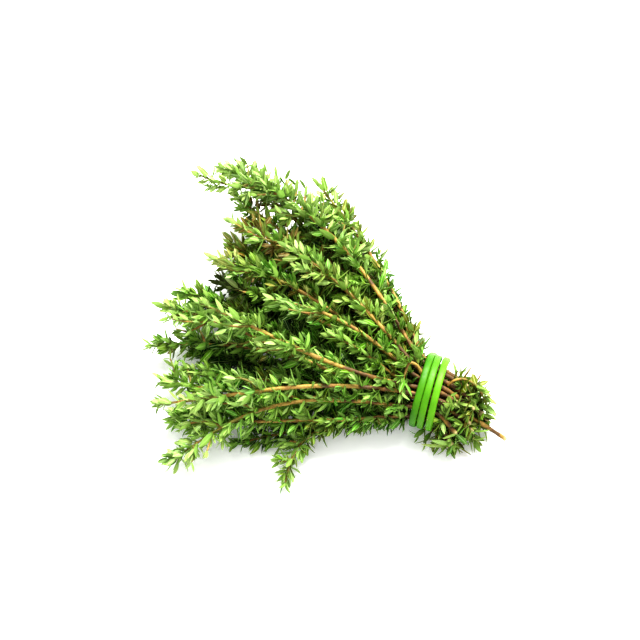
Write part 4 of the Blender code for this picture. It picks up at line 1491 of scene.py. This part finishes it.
def band_point(turn, degrees):
    """The middle of the strip this far round its turn, in millimetres from the waist."""
    from_crossing = (degrees - BAND_CROSSING_DEG + 180) % 360 - 180
    shift = min(max(from_crossing / BAND_CROSSING_SPAN_DEG + 0.5, 0.0), 1.0)
    last = turn == BAND_TURNS - 1
    here, after = BAND_PLACES[turn], BAND_PLACES[0 if last else turn + 1]
    place = here + (after - here) * shift * shift * (3 - 2 * shift)
    lift = BAND_CROSSING_LIFT * (1 - (2 * shift - 1) ** BAND_LIFT_POWER) if last else 0.0
    angle = math.radians(degrees)
    splay = 1 + BAND_SPLAY * max(0.0, -math.cos(angle)) ** 2
    return Vector((
        place * splay,
        math.cos(angle) * (WAIST_HALF_WIDTH + lift),
        max(WAIST_CENTRE_Z + math.sin(angle) * (WAIST_HALF_HEIGHT + lift), BAND_THICKNESS / 2),
    ))


def band_tree():
    g = Growth("rubber strip")
    route = g.input("Route", "Geometry")
    look = g.input("Finish", "Material")
    feeds = {"Width": BAND_THICKNESS * MM, "Height": BAND_WIDTH * MM}
    section = g.out("GeometryNodeCurvePrimitiveQuadrilateral", feeds)
    feeds = {"Curve": section, "Count": BAND_EDGE_STEPS, "Radius": BAND_EDGE_RADIUS * MM}
    section = g.out("GeometryNodeFilletCurve", feeds, mode="POLY")
    strip = g.out("GeometryNodeCurveToMesh", {"Curve": route, "Profile Curve": section})
    strip = g.out("GeometryNodeSetShadeSmooth", {"Geometry": strip})
    strip = g.out("GeometryNodeRealizeInstances", {"Geometry": strip})
    g.links.new(g.coated(strip, look), g.end.inputs[0])
    return g.group


# %% The band itself
def make_band():
    lay_over = Matrix.Rotation(math.radians(90), 4, "Y")
    curve = bpy.data.curves.new("band_route", "CURVE")
    curve.dimensions, curve.twist_mode = "3D", "Z_UP"
    route = curve.splines.new("POLY")
    route.points.add(BAND_TURNS * BAND_STEPS_A_TURN - 1)
    route.use_cyclic_u = True
    for index, point in enumerate(route.points):
        turn, step = divmod(index, BAND_STEPS_A_TURN)
        degrees = BAND_CROSSING_DEG + 180 + 360 * step / BAND_STEPS_A_TURN
        point.co = (*(lay_over.inverted() @ (WAIST + band_point(turn, degrees) * MM)), 1.0)
    drawn = new_object("band_route", curve)
    modifier = drawn.modifiers.new("strip", "NODES")
    modifier.node_group = band_tree()
    set_inputs(modifier, {"Finish": rubber_material})
    piece = as_piece("lime_rubber_band", drawn)
    piece.data.transform(lay_over)
    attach(piece, "root")
    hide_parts("rubber_band")
    return piece


band = make_band()
print("the band is", [round(side / MM, 1) for side in band.dimensions], "mm, the solid is",
      [round(side / MM, 1) for side in band_high - band_low])

# %% [markdown]
# ## Floor and light
# The bunch lies on a plain white table that glows a little, as a light table does, which keeps the
# shadows pale. The world gives an even white light, and one large soft lamp high behind the bunch
# gives the leaves their modelling.

# %% Floor
FLOOR_HALF_SIDE = 3.0
TABLE_GLOW = 0.12


def make_floor():
    table = Finish(
        "white table", Roughness=0.9, Specular_IOR_Level=0.1, Emission_Color=(1, 1, 1),
        Emission_Strength=TABLE_GLOW,
    )
    table.give(Base_Color=table.cloud(3.0, 0.92, 0.94))
    mesh = bpy.data.meshes.new("table_top")
    corners = [(-1, -1), (1, -1), (1, 1), (-1, 1)]
    points = [(x * FLOOR_HALF_SIDE, y * FLOOR_HALF_SIDE, 0) for x, y in corners]
    mesh.from_pydata(points, [], [(0, 1, 2, 3)])
    mesh.materials.append(table.material)
    floor = new_object("table_top", mesh)
    floor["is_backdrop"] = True


make_floor()
print("the table is", 2 * FLOOR_HALF_SIDE, "m across")

# %% Light
WORLD_STRENGTH = 0.93
LAMP_AZIMUTH = 172.0
LAMP_ELEVATION = 58.0
LAMP_DISTANCE = 1.1
LAMP_SIDE = 0.6
LAMP_POWER = 24.0


def make_lights():
    world = bpy.data.worlds.new("white room")
    world.use_nodes = True
    background = world.node_tree.nodes["Background"].inputs
    background["Color"].default_value = (1, 1, 1, 1)
    background["Strength"].default_value = WORLD_STRENGTH
    bpy.context.scene.world = world
    lamp = new_object("soft_lamp", bpy.data.lights.new("soft_lamp", "AREA"))
    lamp.data.shape, lamp.data.size, lamp.data.energy = "DISK", LAMP_SIDE, LAMP_POWER
    face_the_bunch(lamp, LAMP_AZIMUTH, LAMP_ELEVATION, LAMP_DISTANCE)


make_lights()
bpy.context.scene.view_settings.view_transform = "Standard"
bpy.context.scene.view_settings.look = "High Contrast"
print("lit by the world and one soft lamp")

# %% [markdown]
# ## Size
# The fine pieces follow the solids' lines. The fine pieces have to stay inside the solids' box,
# give or take a little. Their box is set against the solids' box here, and how far it reaches past
# it along each axis is printed.

# %% Compare the boxes and finish
fine_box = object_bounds()
for axis, letter in enumerate("XYZ"):
    below = (CAD_BOX[0][axis] - fine_box[0][axis]) / MM
    above = (fine_box[1][axis] - CAD_BOX[1][axis]) / MM
    print(f"past the solids along {letter}: {below:.2f} mm below and {above:.2f} mm above")
